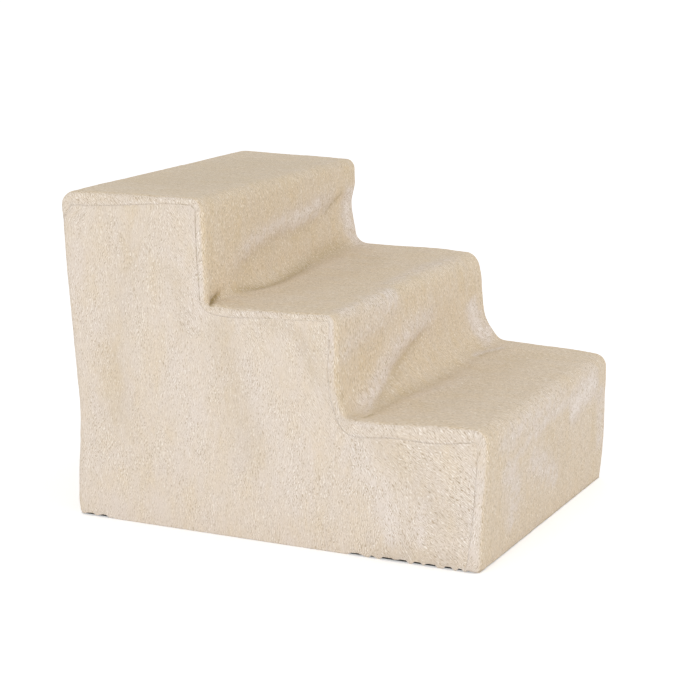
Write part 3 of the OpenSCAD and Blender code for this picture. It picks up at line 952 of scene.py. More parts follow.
@dataclass(frozen=True)
class Fold:
    """A fold that follows a few points on the cloth, in millimetres."""

    path: tuple[Point, ...]
    push: Point = (0.0, 0.0, 0.0)
    width: tuple[float, float] = (8.0, 8.0)
    rise: tuple[float, float] = (1.0, 1.0)
    # fold is how much painted shade the fold lays in its crease, sheen is how much painted sheen it lays on
    # its crushed pile
    fold: float = 0.0
    sheen: float = 0.0
    crest: Crest = Crest.SOFT
    fade: float = 0.2

    def strength(self, points: np.ndarray) -> np.ndarray:
        """Return the fold's height at each point, from 0 away from it to 1 on its crest.

        Args:
            points: Rows x, y, z in millimetres.

        Returns:
            One number for each point.
        """
        line = self._line()
        best = np.full(len(points), np.inf)
        where = np.zeros(len(points))
        for i, (gap, t) in enumerate(stretches(points, line)):
            closer = gap < best
            best[closer] = gap[closer]
            where[closer] = (i + t[closer]) / (len(line) - 1)
        width = self.width[0] + (self.width[1] - self.width[0]) * where
        height = self.rise[0] + (self.rise[1] - self.rise[0]) * where
        shape = np.exp(-best / width) if self.crest is Crest.CRISP else np.exp(-((best / width) ** 2))
        ends = smooth(where, -0.02, self.fade) * smooth(1.0 - where, -0.02, self.fade)
        return shape * height * ends

    def _line(self) -> np.ndarray:
        """Return the path as a smooth line through its points.

        Returns:
            One row for each point of the line.
        """
        points = [Vector(p) for p in self.path]
        line = [points[0]]
        for i in range(len(points) - 1):
            before, after = points[max(i - 1, 0)], points[min(i + 2, len(points) - 1)]
            a, b = points[i], points[i + 1]
            m, n = (b - before) / 2, (after - a) / 2
            for k in range(1, 5):
                start, leave, end, reach = hermite(k / 4)
                line.append(start * a + leave * m + end * b + reach * n)
        return np.array(line)


# Folds of the step strip. Those of a riser end in the pinch of its left inner corner. A fold's fold amount
# paints shade into its crease, and its sheen amount paints a sheen on the crushed pile.
UPPER_Y, MIDDLE_Y, FRONT_Y = 69.0, -79.0, -223.0
UPPER_Z, MIDDLE_Z, LOWER_Z = 334.0, 233.0, 136.0
LEFT_X = -176.0
OUT, IN = (0.0, -1.0, 0.0), (0.0, 1.0, 0.0)


def pushed(way: Point, amount: float) -> Point:
    """Return a push of that many millimetres along a direction."""
    return tuple(amount * c for c in way)


def on_riser(y: float, *places: tuple[float, float]) -> tuple[Point, ...]:
    """Return a path over a riser from places across and up."""
    return tuple((x, y, z) for x, z in places)


def on_tread(z: float, *places: tuple[float, float]) -> tuple[Point, ...]:
    """Return a path over a tread from places across and back."""
    return tuple((x, y, z) for x, y in places)


def on_side(*places: tuple[float, float]) -> tuple[Point, ...]:
    """Return a path over the left side panel from places back and up."""
    return tuple((LEFT_X, y, z) for y, z in places)


STRIP_FOLDS = (
    # the crease under the upper riser: the pinch at its left end, a level stretch, then a long shadow
    Fold(((-169, 66, 234), (-158, 70, 235), (-140, 74, 234), (-112, 64, 234), (-84, 55, 234), (-50, 52, 235),
         (0, 56, 236), (44, 60, 238), (97, 62, 240), (150, 60, 242)), (0.0, 1.2, -1.4), (4.5, 9.0),
         (0.8, 0.95), fold=0.52, fade=0.06),
    Fold(((-158, 70, 234), (-140, 73, 233), (-112, 64, 233), (-84, 55, 233), (-50, 52, 234), (0, 56, 234),
         (44, 60, 236)), (0.0, 0.9, -0.5), (2.2, 3.5), fold=0.38, crest=Crest.CRISP, fade=0.06),
    Fold(((-175, 63, 231), (-168, 66, 233), (-160, 68, 236), (-149, 69, 239)), (0.0, 2.6, -2.0), (2.0, 2.0),
         fold=0.9, fade=0.1),
    # the crushed ridge over the upper riser in painted sheen, and the thin crease beside its far end in
    # painted shade
    Fold(on_riser(UPPER_Y, (-136, 256), (-98, 271), (-66, 280), (-22, 286), (36, 288), (85, 294), (130, 298)),
         pushed(OUT, 1.8), (10.0, 13.0), (0.7, 1.0), sheen=0.58),
    Fold(on_riser(UPPER_Y, (10, 284), (40, 287), (84, 293)), pushed(OUT, 0.6), (7.0, 9.0), sheen=0.44),
    Fold(on_riser(UPPER_Y, (98, 279), (113, 287), (130, 294), (144, 303)), pushed(IN, 1.8), (2.2, 2.2),
         fold=0.50, crest=Crest.CRISP),
    Fold(on_riser(UPPER_Y, (-120, 250), (-60, 266), (40, 272), (90, 279)), pushed(IN, 1.2), (7.0, 11.0),
         fold=0.14),
    # a painted highlight on the sweep at the far end of the upper riser
    Fold(((170, 67, 306), (160, 65, 280), (160, 58, 254), (172, 46, 244)), (0.0, -0.4, 0.4), (14.0, 18.0),
         sheen=0.95),
    # the middle riser: a ridge that climbs out of the pinch, in painted sheen, and the sharp valley beside
    # it, in painted shade
    Fold(((-160, -85, 136), (-145, -81, 141), *on_riser(MIDDLE_Y, (-123, 147), (-93, 158), (-72, 169),
          (-45, 180), (-10, 188), (30, 194), (64, 206))),
         pushed(OUT, 3.8), (7.5, 16.0), (0.9, 0.8), sheen=0.60),
    Fold(((-146, -86, 135), (-116, -84, 138), (-100, -82, 142), (-79, -80, 148),
          *on_riser(MIDDLE_Y, (-58, 156), (-22, 168), (10, 177), (40, 186))),
         pushed(IN, 3.2), (4.0, 6.5), (0.9, 0.7), fold=0.46),
    Fold((*on_riser(MIDDLE_Y, (-171, 184), (-149, 201), (-74, 214)), (-30, -76, 236)),
         pushed(OUT, 1.4), (8.0, 16.0), sheen=0.30),
    Fold(((-172, -81, 160), (-171, -83, 150), (-169, -87, 142), (-165, -90, 137)), pushed(IN, 1.4),
         (3.6, 3.0), fold=0.60, fade=0.15),
    Fold(((-165, -92, 138), (-158, -94, 137), (-147, -96, 137)), (0.0, 2.0, -1.2), (2.4, 2.4), fold=0.85,
         fade=0.1),
    # the broad shadow along the lower inner corner, and its edge on the tread
    Fold(((-150, -94, 137), (-120, -95, 138), (-71, -97, 140), (-28, -104, 142), (13, -108, 144),
         (56, -108, 147), (104, -106, 150), (150, -102, 152)), (0.0, 0.8, -1.2), (6.0, 14.0), (0.8, 0.8),
         fold=0.46, fade=0.1),
    Fold(((-93, -106, 137), (-60, -118, LOWER_Z), (-11, -130, LOWER_Z), (30, -140, LOWER_Z)), (0.0, 0.0, 0.9),
         (9.0, 12.0), sheen=0.14),
    # a painted highlight on the sweep at the far end of the middle riser, with a painted bright crease under
    # it and painted shade below that
    Fold(((140, -79, 194), (144, -80, 174), (150, -84, 155), (160, -98, 139)), (0.0, -0.4, 0.4), (14.0, 21.0),
         sheen=0.82),
    Fold(((88, -98, 139), (112, -104, 137), (126, -110, 136), (144, -121, 136)), (0.0, -0.6, 0.9), (3.0, 3.0),
         sheen=0.8, crest=Crest.CRISP, fade=0.15),
    Fold(((90, -104, 137), (114, -110, 136), (130, -117, 136), (148, -126, 136)), (0.0, 0.4, -0.8),
         (3.0, 3.0), fold=0.32),
    # soft ridges over the treads in painted sheen, and broad painted shade over the top and the middle and
    # lower treads
    Fold(on_tread(MIDDLE_Z, (-166, -70), (-140, -76), (-89, -78), (-30, -76)), (0.0, -0.4, 0.7), (8.0, 14.0),
         sheen=0.36),
    Fold(on_tread(MIDDLE_Z, (-40, -60), (40, -58), (150, -70)), (0.0, 0.0, 0.8), (8.0, 12.0), sheen=0.25),
    Fold(on_tread(UPPER_Z, (-120, 140), (120, 140)), (0.0, 0.0, 0.0), (85.0, 85.0), fold=0.17, fade=0.02),
    Fold(on_tread(MIDDLE_Z, (-90, 30), (20, 10), (130, 20)), (0.0, 0.0, -1.0), (16.0, 18.0), fold=0.08),
    Fold(on_tread(LOWER_Z, (-120, -160), (0, -140), (140, -150)), (0.0, 0.0, -1.0), (18.0, 22.0), fold=0.09),
    # the front riser: painted sheen makes it paler all over, with more on crushed patches and a diagonal
    # ridge, and a little painted shade
    Fold(on_riser(FRONT_Y, (-130, 66), (130, 66)), (0.0, 0.0, 0.0), (72.0, 72.0), sheen=0.13, fade=0.02),
    Fold(on_riser(FRONT_Y, (-120, 84), (-72, 101), (-10, 108), (40, 113), (78, 119)), pushed(OUT, 0.5),
         (5.0, 6.0), sheen=0.35),
    Fold(on_riser(FRONT_Y, (-160, 118), (-120, 118), (-80, 121), (-20, 122), (60, 128)), pushed(OUT, 0.5),
         (12.0, 12.0), sheen=0.40),
    Fold(on_riser(FRONT_Y, (-140, 96), (-96, 60), (-110, 20)), pushed(OUT, 0.8), (16.0, 14.0), sheen=0.40),
    Fold(on_riser(FRONT_Y, (-70, 84), (-10, 60), (30, 36)), pushed(OUT, 0.8), (14.0, 12.0), sheen=0.44),
    Fold(on_riser(FRONT_Y, (50, 96), (100, 112), (150, 116)), pushed(OUT, 0.6), (13.0, 16.0), sheen=0.78),
    Fold(on_riser(FRONT_Y, (150, 110), (160, 70), (156, 30)), pushed(OUT, 0.4), (12.0, 12.0), sheen=0.40),
    Fold(on_riser(FRONT_Y, (-30, 100), (20, 74), (70, 30)), pushed(IN, 1.0), (14.0, 18.0), fold=0.06),
)

# Drape of the side panels, written for the left one, with painted shade in its folds and painted sheen on its
# crests
SIDE_FOLDS = (
    Fold(on_side((-214, 108), (-214, 60), (-212, 12)), (0, 0, 0), (7.0, 7.0), sheen=0.34),
    Fold(on_side((78, 318), (78, 270), (76, 236)), (0, 0, 0), (6.0, 6.0), sheen=0.22),
    Fold(on_side((-40, 222), (-68, 180), (-84, 124)), (-0.9, 0, 0), (13.0, 11.0), fold=0.10),
    Fold(on_side((60, 226), (40, 170), (10, 60)), (0.9, 0, 0), (16.0, 22.0), fold=0.14),
    Fold(on_side((-80, 130), (-110, 80), (-150, 12)), (-1.0, 0, 0), (12.0, 18.0), sheen=0.35),
    Fold(on_side((-100, 128), (-150, 90), (-196, 30)), (0.9, 0, 0), (10.0, 15.0), fold=0.12),
    Fold(on_side((150, 300), (166, 200), (170, 60)), (0.9, 0, 0), (14.0, 18.0), fold=0.08),
    Fold(on_side((104, 300), (92, 200), (84, 40)), (-0.7, 0, 0), (12.0, 20.0), sheen=0.22),
    Fold(on_side((30, 200), (0, 120), (-40, 20)), (-0.8, 0, 0), (12.0, 18.0), sheen=0.25),
    # streaks painted warmer and darker in the crease-shade colour, and two paler ones in painted sheen beside
    # the front of the hem
    Fold(on_side((122, 276), (96, 250), (94, 216), (86, 190)), (0, 0, 0), (9.0, 7.0), fold=0.12),
    Fold(on_side((178, 190), (170, 150), (160, 100)), (0, 0, 0), (12.0, 14.0), fold=0.08),
    Fold(on_side((20, 221), (-21, 219), (-37, 211), (-49, 184), (-60, 158)), (-0.4, 0, 0), (7.0, 5.0),
         fold=0.17),
    Fold(on_side((-100, 10), (-206, 12)), (0, 0, 0), (9.0, 9.0), fold=0.14),
    Fold(on_side((-131, 62), (-129, 14)), (0, 0, 0), (5.0, 5.0), sheen=0.50),
    Fold(on_side((-146, 50), (-144, 12)), (0, 0, 0), (5.0, 5.0), fold=0.10),
    Fold(on_side((-166, 72), (-160, 16)), (0, 0, 0), (6.0, 6.0), sheen=0.50),
)


@dataclass(frozen=True)
class Profile:
    """How far a riser or tread of the cloth lies from its taut plane, in millimetres."""

    at: tuple[float, ...]
    near: tuple[float, ...]
    far: tuple[float, ...]

    def offset(self, along: np.ndarray, share: np.ndarray) -> np.ndarray:
        """Return the offset in metres.

        Args:
            along: Place along the profile in metres.
            share: Place across the width, from 0 at the left side to 1 at the right.

        Returns:
            One offset for each place.
        """
        near, far = (eased(along / MM, self.at, side) for side in (self.near, self.far))
        return (near + (far - near) * share) * MM


FRONT = Profile((0, 6, 12, 26, 40, 62, 88, 110, 136),
                (5.5, 3.5, 1.1, 0.0, -0.9, -2.2, -4.2, -5.8, -5.5),
                (1.6, 1.2, 0.7, -0.1, -0.9, -1.5, -2.0, -2.5, -2.2))
MIDDLE = Profile((130, 136, 142, 148, 154, 160, 166, 173, 183, 198, 213, 226, 233),
                 (-7.5, -7.0, -5.0, -2.5, -0.4, 1.0, 2.0, 2.6, 2.8, 2.8, 2.8, 2.6, 2.4),
                 (-5.5, -7.0, -9.3, -10.2, -9.2, -8.0, -6.5, -5.0, -3.7, -2.4, -1.0, 2.0, 2.8))
UPPER = Profile((228, 236, 245, 257, 266, 277, 288, 297, 305, 318, 334),
                (-4.5, -5.0, -5.6, -5.4, -5.2, -4.9, -4.6, -4.4, -4.2, -3.8, -3.2),
                (3.5, 3.5, 3.2, 5.0, 6.6, 8.0, 8.0, 5.8, 3.8, 4.0, 4.2))
REAR = Profile((0, 6, 14, 30, 46, 62, 77, 93, 108, 123, 139, 154, 186, 217, 263, 310, 334),
               (-3.0, 0.0, 0.5, -1.0, -2.4, -4.4, -6.0, -7.0, -7.6, -7.1, -5.8, -4.6, -2.2, 0.1, 4.3, 6.0,
                6.0),
               (-2.0, 0.0, 0.6, -0.6, -1.8, -2.4, -3.0, -3.4, -3.6, -3.2, -2.4, -1.6, 0.0, 1.5, 4.0, 4.5,
                4.5))
LOWER_TREAD = Profile((-223, -212, -198, -185, -171, -150, -130, -115, -95, -79),
                      (3.4, 3.6, 3.5, 3.2, 2.6, 1.2, -0.2, -0.8, -0.8, -0.5),
                      (1.0, 1.5, 2.5, 3.4, 4.1, 4.9, 5.7, 6.0, 5.8, 5.8))
MIDDLE_TREAD = Profile((-79, -67, -53, -40, 0, 40, 64, 69),
                       (1.0, 1.0, 0.8, 0.2, -0.8, -1.2, 0.6, 1.0),
                       (3.2, 4.4, 5.0, 5.8, 6.2, 6.2, 6.0, 5.8))
TOP = Profile((69, 120, 170, 223), (2.2, 2.2, 1.8, 1.0), (-0.8, 0.2, 1.2, 2.5))
SIDE = Profile((0, 6, 14, 26, 44, 90, 200, 334),
               (-2.4, -1.7, -0.4, 0.9, 1.7, 2.0, 1.8, 1.8),
               (-2.4, -1.7, -0.4, 0.9, 1.7, 2.0, 1.8, 1.8))


@dataclass
class Drape:
    """Moves points of the taut cover to where the cloth lies, alike for every piece sewn to it."""

    outline: Outline
    hem_drop: float = 0.0032
    reach: float = 0.032
    rumple: float = 0.0007
    slide: float = 0.0125
    slide_reach: float = 0.090
    backing: float = 0.0026
    board_step: float = 0.0032
    under_lip: float = 0.004
    crush: float = 0.9
    gate: tuple[float, float] = (0.010, 0.055)
    hem_reach: float = 0.035
    fold_reach: float = 4.5
    right_shift: float = 12.0
    slide_band: float = 0.040
    slide_start: float = 0.028
    slide_fade: float = 0.020
    slide_top: tuple[float, float] = (0.032, 0.011)
    head_r: float = 0.0045
    tent_r: float = 0.016
    tent_depth: float = 0.010
    tent_slope: float = 0.7
    heads: list[Vector] = field(default_factory=list)

    def move(self, points: np.ndarray) -> np.ndarray:
        """Return the points where the cloth lies.

        Args:
            points: Rows x, y, z in metres, on the taut cover.

        Returns:
            The moved rows.
        """
        moved = self._slid(points) + self._settled(points)
        for fold in self._folds():
            strength = self._strength(fold, points)
            moved += strength[:, None] * np.array(fold.push) * MM
        free = 0.25 + 0.75 * smooth(points[:, 2], self.outline.hem, 0.050)
        for axis in range(3):
            moved[:, axis] += self.rumple * grain(points, 0.060, 11.0 * (axis + 1)) * free
        return self._held_off(moved)

    def marks(self, points: np.ndarray) -> tuple[np.ndarray, np.ndarray]:
        """Return how much painted shade the folds lay, and how much painted sheen lies on the crushed pile,
        at each point, from 0 to 1.

        Args:
            points: Rows x, y, z in metres, on the taut cover.

        Returns:
            Two arrays, the folds and the crushed places.
        """
        fold, sheen = np.zeros(len(points)), np.zeros(len(points))
        for one in self._folds():
            if one.fold or one.sheen:
                strength = self._strength(one, points)
                fold += one.fold * strength
                sheen += one.sheen * strength
        # break the painted sheen into blotches
        lit = sheen > 0.1
        sheen[lit] *= 1.0 + self.crush * grain(points[lit], 0.0065, 71.0)
        return np.clip(fold, 0.0, 1.0), np.clip(sheen, 0.0, 1.0)

    def _folds(self) -> Iterable[Fold]:
        """Yield all folds, with the side folds on both sides.

        Yields:
            Each fold.
        """
        yield from STRIP_FOLDS
        for one in SIDE_FOLDS:
            yield one
            path = tuple((-x, y - self.right_shift, z) for x, y, z in one.path)
            yield replace(one, path=path, push=(-one.push[0], one.push[1], one.push[2]))

    def _strength(self, fold: Fold, points: np.ndarray) -> np.ndarray:
        """Return a fold's strength, worked out only near it.

        Args:
            fold: The fold.
            points: Rows x, y, z in metres, on the taut cover.

        Returns:
            One number for each point.
        """
        path = np.array(fold.path) * MM
        margin = self.fold_reach * max(fold.width) * MM
        near = ((points > path.min(0) - margin) & (points < path.max(0) + margin)).all(axis=1)
        strength = np.zeros(len(points))
        if near.any():
            strength[near] = fold.strength(points[near] / MM)
        return strength

    def _settled(self, points: np.ndarray) -> np.ndarray:
        """Return how the risers, treads, sides and hem lie off their taut planes.

        Args:
            points: Rows x, y, z in metres, on the taut cover.

        Returns:
            The push on each point.
        """
        o = self.outline
        x, y, z = points.T
        share = np.clip((x / o.half_w + 1.0) / 2.0, 0.0, 1.0)
        push = np.zeros_like(points)
        shut, wide = self.gate
        for plane, low, profile in ((o.front, 0.0, FRONT), (o.middle, o.lower_z, MIDDLE),
                                    (o.upper, o.middle_z, UPPER), (o.rear, 0.0, REAR)):
            gate = smooth(z, low - wide, low - shut) if low else 1.0
            push[:, 1] += profile.offset(z, share) * bell(y, plane, self.reach) * gate
        for plane, back, profile in ((o.lower_z, o.middle, LOWER_TREAD), (o.middle_z, o.upper, MIDDLE_TREAD),
                                     (o.upper_z, o.rear, TOP)):
            gate = 1.0 - smooth(y, back + shut, back + wide)
            push[:, 2] += profile.offset(y, share) * bell(z, plane, self.reach) * gate
        push[:, 0] += np.sign(x) * SIDE.offset(z, share) * bell(np.abs(x), o.half_w, 0.7 * self.reach)
        push[:, 2] -= self.hem_drop * (1.0 - smooth(z, o.hem, self.hem_reach))
        return push

    def _held_off(self, points: np.ndarray) -> np.ndarray:
        """Return the points kept off the treads and riser boards that the cloth rests on.

        Args:
            points: Rows x, y, z of the draped cloth.

        Returns:
            The moved rows.
        """
        held = points.copy()
        for name in ("lower", "middle", "upper"):
            boards = {f"tread_{name}": self.backing, f"riser_{name}": self.backing + self.board_step}
            for node, front in boards.items():
                low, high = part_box(node)
                over = high.z + self.backing - held[:, 2]
                into = held[:, 1] - (low.y - front)
                inside = (np.abs(held[:, 0]) < high.x) & (over > 0) & (into > 0)
                inside &= (held[:, 2] > low.z - self.under_lip) & (held[:, 1] < high.y)
                up = inside & (over <= into)
                held[up, 2] += over[up]
                out = inside & (over > into)
                held[out, 1] -= into[out]
        for head in self.heads:
            beside = np.hypot(held[:, 0] - head.x, held[:, 2] - head.z)
            front = head.y - self.backing + self.tent_slope * np.clip(beside - self.head_r, 0.0, None)
            near = (beside < self.tent_r) & (np.abs(held[:, 1] - head.y) < self.tent_depth)
            behind = near & (held[:, 1] > front)
            held[behind, 1] = front[behind]
        return held

    def _slid(self, points: np.ndarray) -> np.ndarray:
        """Return the points with the upright rear seams drawn round to the corner of the back.

        Args:
            points: Rows x, y, z in metres, on the taut cover.

        Returns:
            The moved rows.
        """
        o = self.outline
        x, y, z = points.T
        side, a = np.sign(x), np.abs(x)
        near = (y > o.rear - self.slide_reach) & (a > o.half_w - self.slide_band)
        slid = points.copy()
        cx, cy = o.half_w - o.edge_r, o.rear - o.edge_r
        ax, ay = a[near] - cx, y[near] - cy
        turn = np.arctan2(ay, ax)
        quarter = o.edge_r * math.pi / 2
        aside, behind = ay <= 0, ax <= 0
        along = np.where(aside, quarter - ay, np.where(behind, ax, quarter - o.edge_r * turn))
        lift = np.where(aside, ax, np.where(behind, ay, np.hypot(ax, ay))) - o.edge_r
        seam = quarter + o.seam - o.edge_r
        pull = smooth(along, -self.slide_start, seam)
        pull = pull * (1.0 - smooth(along, seam, self.slide_reach - self.slide_fade))
        below, under = self.slide_top
        pull *= 1.0 - smooth(z[near], o.upper_z - below, o.upper_z - under)
        along = along - self.slide * pull
        turn = np.clip(math.pi / 2 - along / o.edge_r, 0.0, math.pi / 2)
        reach = o.edge_r + lift
        slid[near, 0] = side[near] * (cx + reach * np.cos(turn) + np.minimum(along, 0.0))
        slid[near, 1] = cy + reach * np.sin(turn) - np.maximum(along - quarter, 0.0)
        return slid


@dataclass
class PlushCover:
    """The sewn plush cover: one step strip and two side panels, with the pile outside."""

    outline: Outline
    drape: Drape
    pitch: float = 0.0029
    edge_columns: int = 12
    mid_columns: int = 104
    edge_band: float = 0.004
    panel_pitch: float = 0.0030
    thickness: float = 0.0022
    clump: float = 0.00022
    clump_sizes: tuple[float, float] = (0.009, 0.0045)
    seam_spots: tuple[float, float] = (0.009, 0.0035)
    # painted shade along the seam: a little everywhere, and more beside the upper riser
    seam_dark: tuple[float, float] = (0.05, 0.50)
    turn_start: float = 0.45
    turn_later: tuple[float, float] = (0.25, 0.50)
    turn_span: float = 0.30
    strip_loft: tuple[float, float] = (0.76, 0.06)
    sheen_loft: float = 0.8
    dash_sizes: tuple[float, float] = (0.0085, 0.0045)
    hem_show: float = 0.0026
    hem_waver: float = 0.0002
    hem_ranges: tuple[tuple[float, float], ...] = ((-0.215, -0.080), (0.175, 0.205))
    pieces: list[Object] = field(default_factory=list)

    def build(self) -> list[Object]:
        """Returns:
            The three pieces.
        """
        self.path = StepPath(self.outline)
        self.plush, self.backing = PLUSH.material(), BACKING.material()
        self.pieces = [self._strip(), self._panel(Side.LEFT), self._panel(Side.RIGHT)]
        return self.pieces

    def _half_flat(self, seam: np.ndarray) -> np.ndarray:
        """Return half the strip's flat width, from its middle to a seam that lies so far inside the edge."""
        o = self.outline
        return o.half_w - o.edge_r + math.pi / 2 * o.edge_r + (seam - o.edge_r)

    def _across(self, flat: np.ndarray) -> tuple[np.ndarray, np.ndarray, np.ndarray]:
        """Return X, depth and the turn round the edge of places across the flat strip.

        Args:
            flat: Distance from the middle of the flat strip.

        Returns:
            X, the depth inside the outer planes, and the turn in radians.
        """
        o = self.outline
        a, side = np.abs(flat), np.sign(flat)
        straight = o.half_w - o.edge_r
        turn = np.clip((a - straight) / o.edge_r, 0.0, math.pi / 2)
        down = np.clip(a - straight - o.edge_r * math.pi / 2, 0.0, None)
        depth = o.edge_r * (1 - np.cos(turn)) + down
        return side * (np.minimum(a, straight) + o.edge_r * np.sin(turn)), depth, turn

    def _tuck(self, gap: np.ndarray, places: np.ndarray) -> tuple[np.ndarray, np.ndarray]:
        """Return how far the cloth is drawn in near its seam, and how much painted shade lies along it.

        Args:
            gap: Distance of each point from the seam.
            places: Rows x, y, z on the outer planes.

        Returns:
            The tuck in metres, and the painted seam shade from 0 to 1.
        """
        o = self.outline
        tuck, dark = np.zeros(len(gap)), np.zeros(len(gap))
        near = gap < o.tuck_w
        t = 1.0 - np.clip(gap[near] / o.tuck_w, 0.0, 1.0)
        held = 0.3 + 0.7 * smooth(grain(places[near], self.seam_spots[0], 21.0), -0.25, 0.25)
        y, z = places[near, 1:].T
        beside_riser = smooth(z, o.middle_z - 0.004, o.middle_z + 0.014) * bell(y, o.upper, 0.030)
        tuck[near] = o.tuck_depth * held * (0.3 + 0.7 * beside_riser) * (1.0 - np.sqrt(1.0 - t * t))
        dotted = smooth(grain(places[near], self.seam_spots[1], 43.0), -0.30, 0.20)
        least, more = self.seam_dark
        dark[near] = dotted * (least + more * beside_riser) * smooth(t, 0.5, 1.0)
        return tuck, dark

    def _strip(self) -> Object:
        """Make the step strip from a flat cut of cloth that is laid over the steps.

        Returns:
            The piece.
        """
        o = self.outline
        columns = self.mid_columns + 2 * self.edge_columns
        rows = round(self.path.length / self.pitch)
        bm = bmesh.new()
        bmesh.ops.create_grid(bm, x_segments=columns, y_segments=rows, size=1.0)
        mesh = as_mesh(bm, "plush_step_strip")
        unit = coordinates(mesh)
        mid, knee = o.half_w - o.edge_r - self.edge_band, self.mid_columns / columns
        a = np.abs(unit[:, 0])
        along = (unit[:, 1] + 1.0) / 2.0 * self.path.length
        seam = self.path.seam(along)
        half = self._half_flat(seam)
        flat_a = np.where(a < knee, a / knee * mid, mid + (a - knee) / (1 - knee) * (half - mid))
        flat_x = np.sign(unit[:, 0]) * flat_a
        x, depth, turn = self._across(flat_x)
        placed = self.path.place(along, x, depth)
        taut = np.column_stack([x, placed])
        side = np.column_stack([np.sign(x) * o.half_w, placed])
        tuck, dark = self._tuck(seam - depth, side)
        taut[:, 0] -= np.sign(x) * tuck
        put_cloth_map(mesh, np.column_stack([flat_x, along]))
        aside, upright = self._turned(taut, along, turn), self.path.steepness(along)
        loft = self.strip_loft[0] + self.strip_loft[1] * aside
        self._lay(mesh, taut, aside * (0.8 - 0.5 * upright), aside, loft, dark)
        piece = self._finish("plush_step_strip", mesh, "cover_step_strip")
        return piece

    def _turned(self, taut: np.ndarray, along: np.ndarray, turn: np.ndarray) -> np.ndarray:
        """Return where the strip's pile lies sideways and takes the sides' paler tones, which are partly
        painted light: past the edge on a tread, later on a riser.

        Args:
            taut: Rows x, y, z in metres, on the taut cover.
            along: Distance along the path from the front hem.
            turn: Turn round the edge in radians.

        Returns:
            One share for each point.
        """
        upright = self.path.steepness(along)
        low = taut[:, 2] < self.outline.lower_z
        start = self.turn_start + np.where(low, *self.turn_later) * upright
        uneven = 0.12 * grain(taut, 0.014, 31.0)
        return smooth(turn + uneven, start, start + self.turn_span)

    def _panel(self, side: Side) -> Object:
        """Make a side panel: a stepped cut along the strip's seam, with a tucked edge.

        Args:
            side: Its side.

        Returns:
            The piece.
        """
        seam = self.path.seam_line(side)
        name = f"plush_side_{side.word}"
        mesh = as_mesh(self._cut(side, seam), name)
        taut = coordinates(mesh)
        put_cloth_map(mesh, taut[:, 1:])
        gap = np.full(len(taut), np.inf)
        for far, _ in stretches(taut[:, 1:], seam):
            gap = np.minimum(gap, far)
        tuck, dark = self._tuck(gap, taut)
        taut[:, 0] -= side.value * tuck
        comb, loft = self._combing(taut, gap)
        self._lay(mesh, taut, comb, np.ones(len(taut)), loft, dark)
        piece = self._finish(name, mesh, f"cover_side_{side.word}")
        return piece

    def _cut(self, side: Side, seam: np.ndarray) -> BMesh:
        """Return a flat panel inside a seam, with fine rows along its tuck, facing outwards.

        Args:
            side: The panel's side.
            seam: Rows of Y and Z along the seam.

        Returns:
            The panel.
        """
        o = self.outline
        bm = bmesh.new()
        bm.faces.new([bm.verts.new((0.0, y, z)) for y, z in seam])
        bm.normal_update()
        for _ in range(2):
            face = max(bm.faces, key=lambda f: f.calc_area())
            bmesh.ops.inset_region(bm, faces=[face], thickness=o.tuck_w / 2, depth=0.0, use_boundary=True,
                                   use_even_offset=True)
        sliced(bm, (0, 1, 0), o.front, o.rear, self.panel_pitch)
        sliced(bm, (0, 0, 1), o.hem, o.upper_z, self.panel_pitch)
        bmesh.ops.translate(bm, vec=(o.half_w, 0.0, 0.0), verts=bm.verts)
        bmesh.ops.scale(bm, vec=(side.value, 1.0, 1.0), verts=bm.verts)
        if sum(f.normal.x * f.calc_area() for f in bm.faces) * side.value < 0:
            bmesh.ops.reverse_faces(bm, faces=bm.faces)
        return bm

    def _combing(self, taut: np.ndarray, gap: np.ndarray) -> tuple[np.ndarray, np.ndarray]:
        """Return where a panel's pile leans over, and how open it is.

        Args:
            taut: Rows x, y, z in metres, on the taut cover.
            gap: Distance of each point from the seam.

        Returns:
            The lean and the openness, from 0 to 1.
        """
        o = self.outline
        y, z = taut[:, 1:].T
        below = 0.50 * (1.0 - smooth(gap, 0.016, 0.052)) * (y < o.upper + 0.040)
        low = 1.0 - smooth(z, o.lower_z - 0.010, o.lower_z + 0.030)
        front = (1.0 - smooth(y, -0.190, -0.075)) * low
        comb = np.clip(below + 0.75 * front, 0.0, 1.0)
        loft = 0.60 + 0.34 * (1.0 - smooth(y, -0.170, 0.0)) * (1.0 - smooth(z, 0.130, 0.220))
        patches = grain(taut * np.array((1.0, 1.0, 0.45)), 0.022, 61.0)
        return comb, loft * (0.72 + 0.45 * smooth(patches, -0.25, 0.30))

    def _lay(
        self,
        mesh: Mesh,
        taut: np.ndarray,
        comb: np.ndarray,
        aside: np.ndarray,
        loft: np.ndarray,
        dark: np.ndarray,
    ) -> None:
        """Drape a taut mesh, mark how its pile lies and raise its clumps.

        Args:
            mesh: The mesh, whose vertices are moved.
            taut: Its vertices on the taut cover.
            comb: How far the pile leans over at each of them.
            aside: Where the pile is turned to the light and takes the sides' paler tones, which are partly
                painted light.
            loft: How open the pile is.
            dark: How much painted shade lies along the seam.
        """
        # the painted shade of the folds and the seam, and the painted sheen, go to the material as attributes
        fold, sheen = self.drape.marks(taut)
        raised = np.clip(loft + self.sheen_loft * sheen, 0.0, 1.1)
        marks = {"comb": comb, "aside": aside, "fold": np.maximum(fold, dark), "sheen": sheen, "loft": raised}
        for name, values in marks.items():
            put_attribute(mesh, name, values)
        points = self.drape.move(taut)
        put_coordinates(mesh, points)
        normals = np.empty(len(mesh.vertices) * 3)
        mesh.vertices.foreach_get("normal", normals)
        normals = normals.reshape(-1, 3)
        coarse, fine = self.clump_sizes
        lift = self.clump * (grain(taut, coarse, 5.0) + 0.6 * grain(taut, fine, 9.0))
        points = points + normals * lift[:, None]
        points[:, 2] += self._hem_lift(taut)
        put_coordinates(mesh, points)

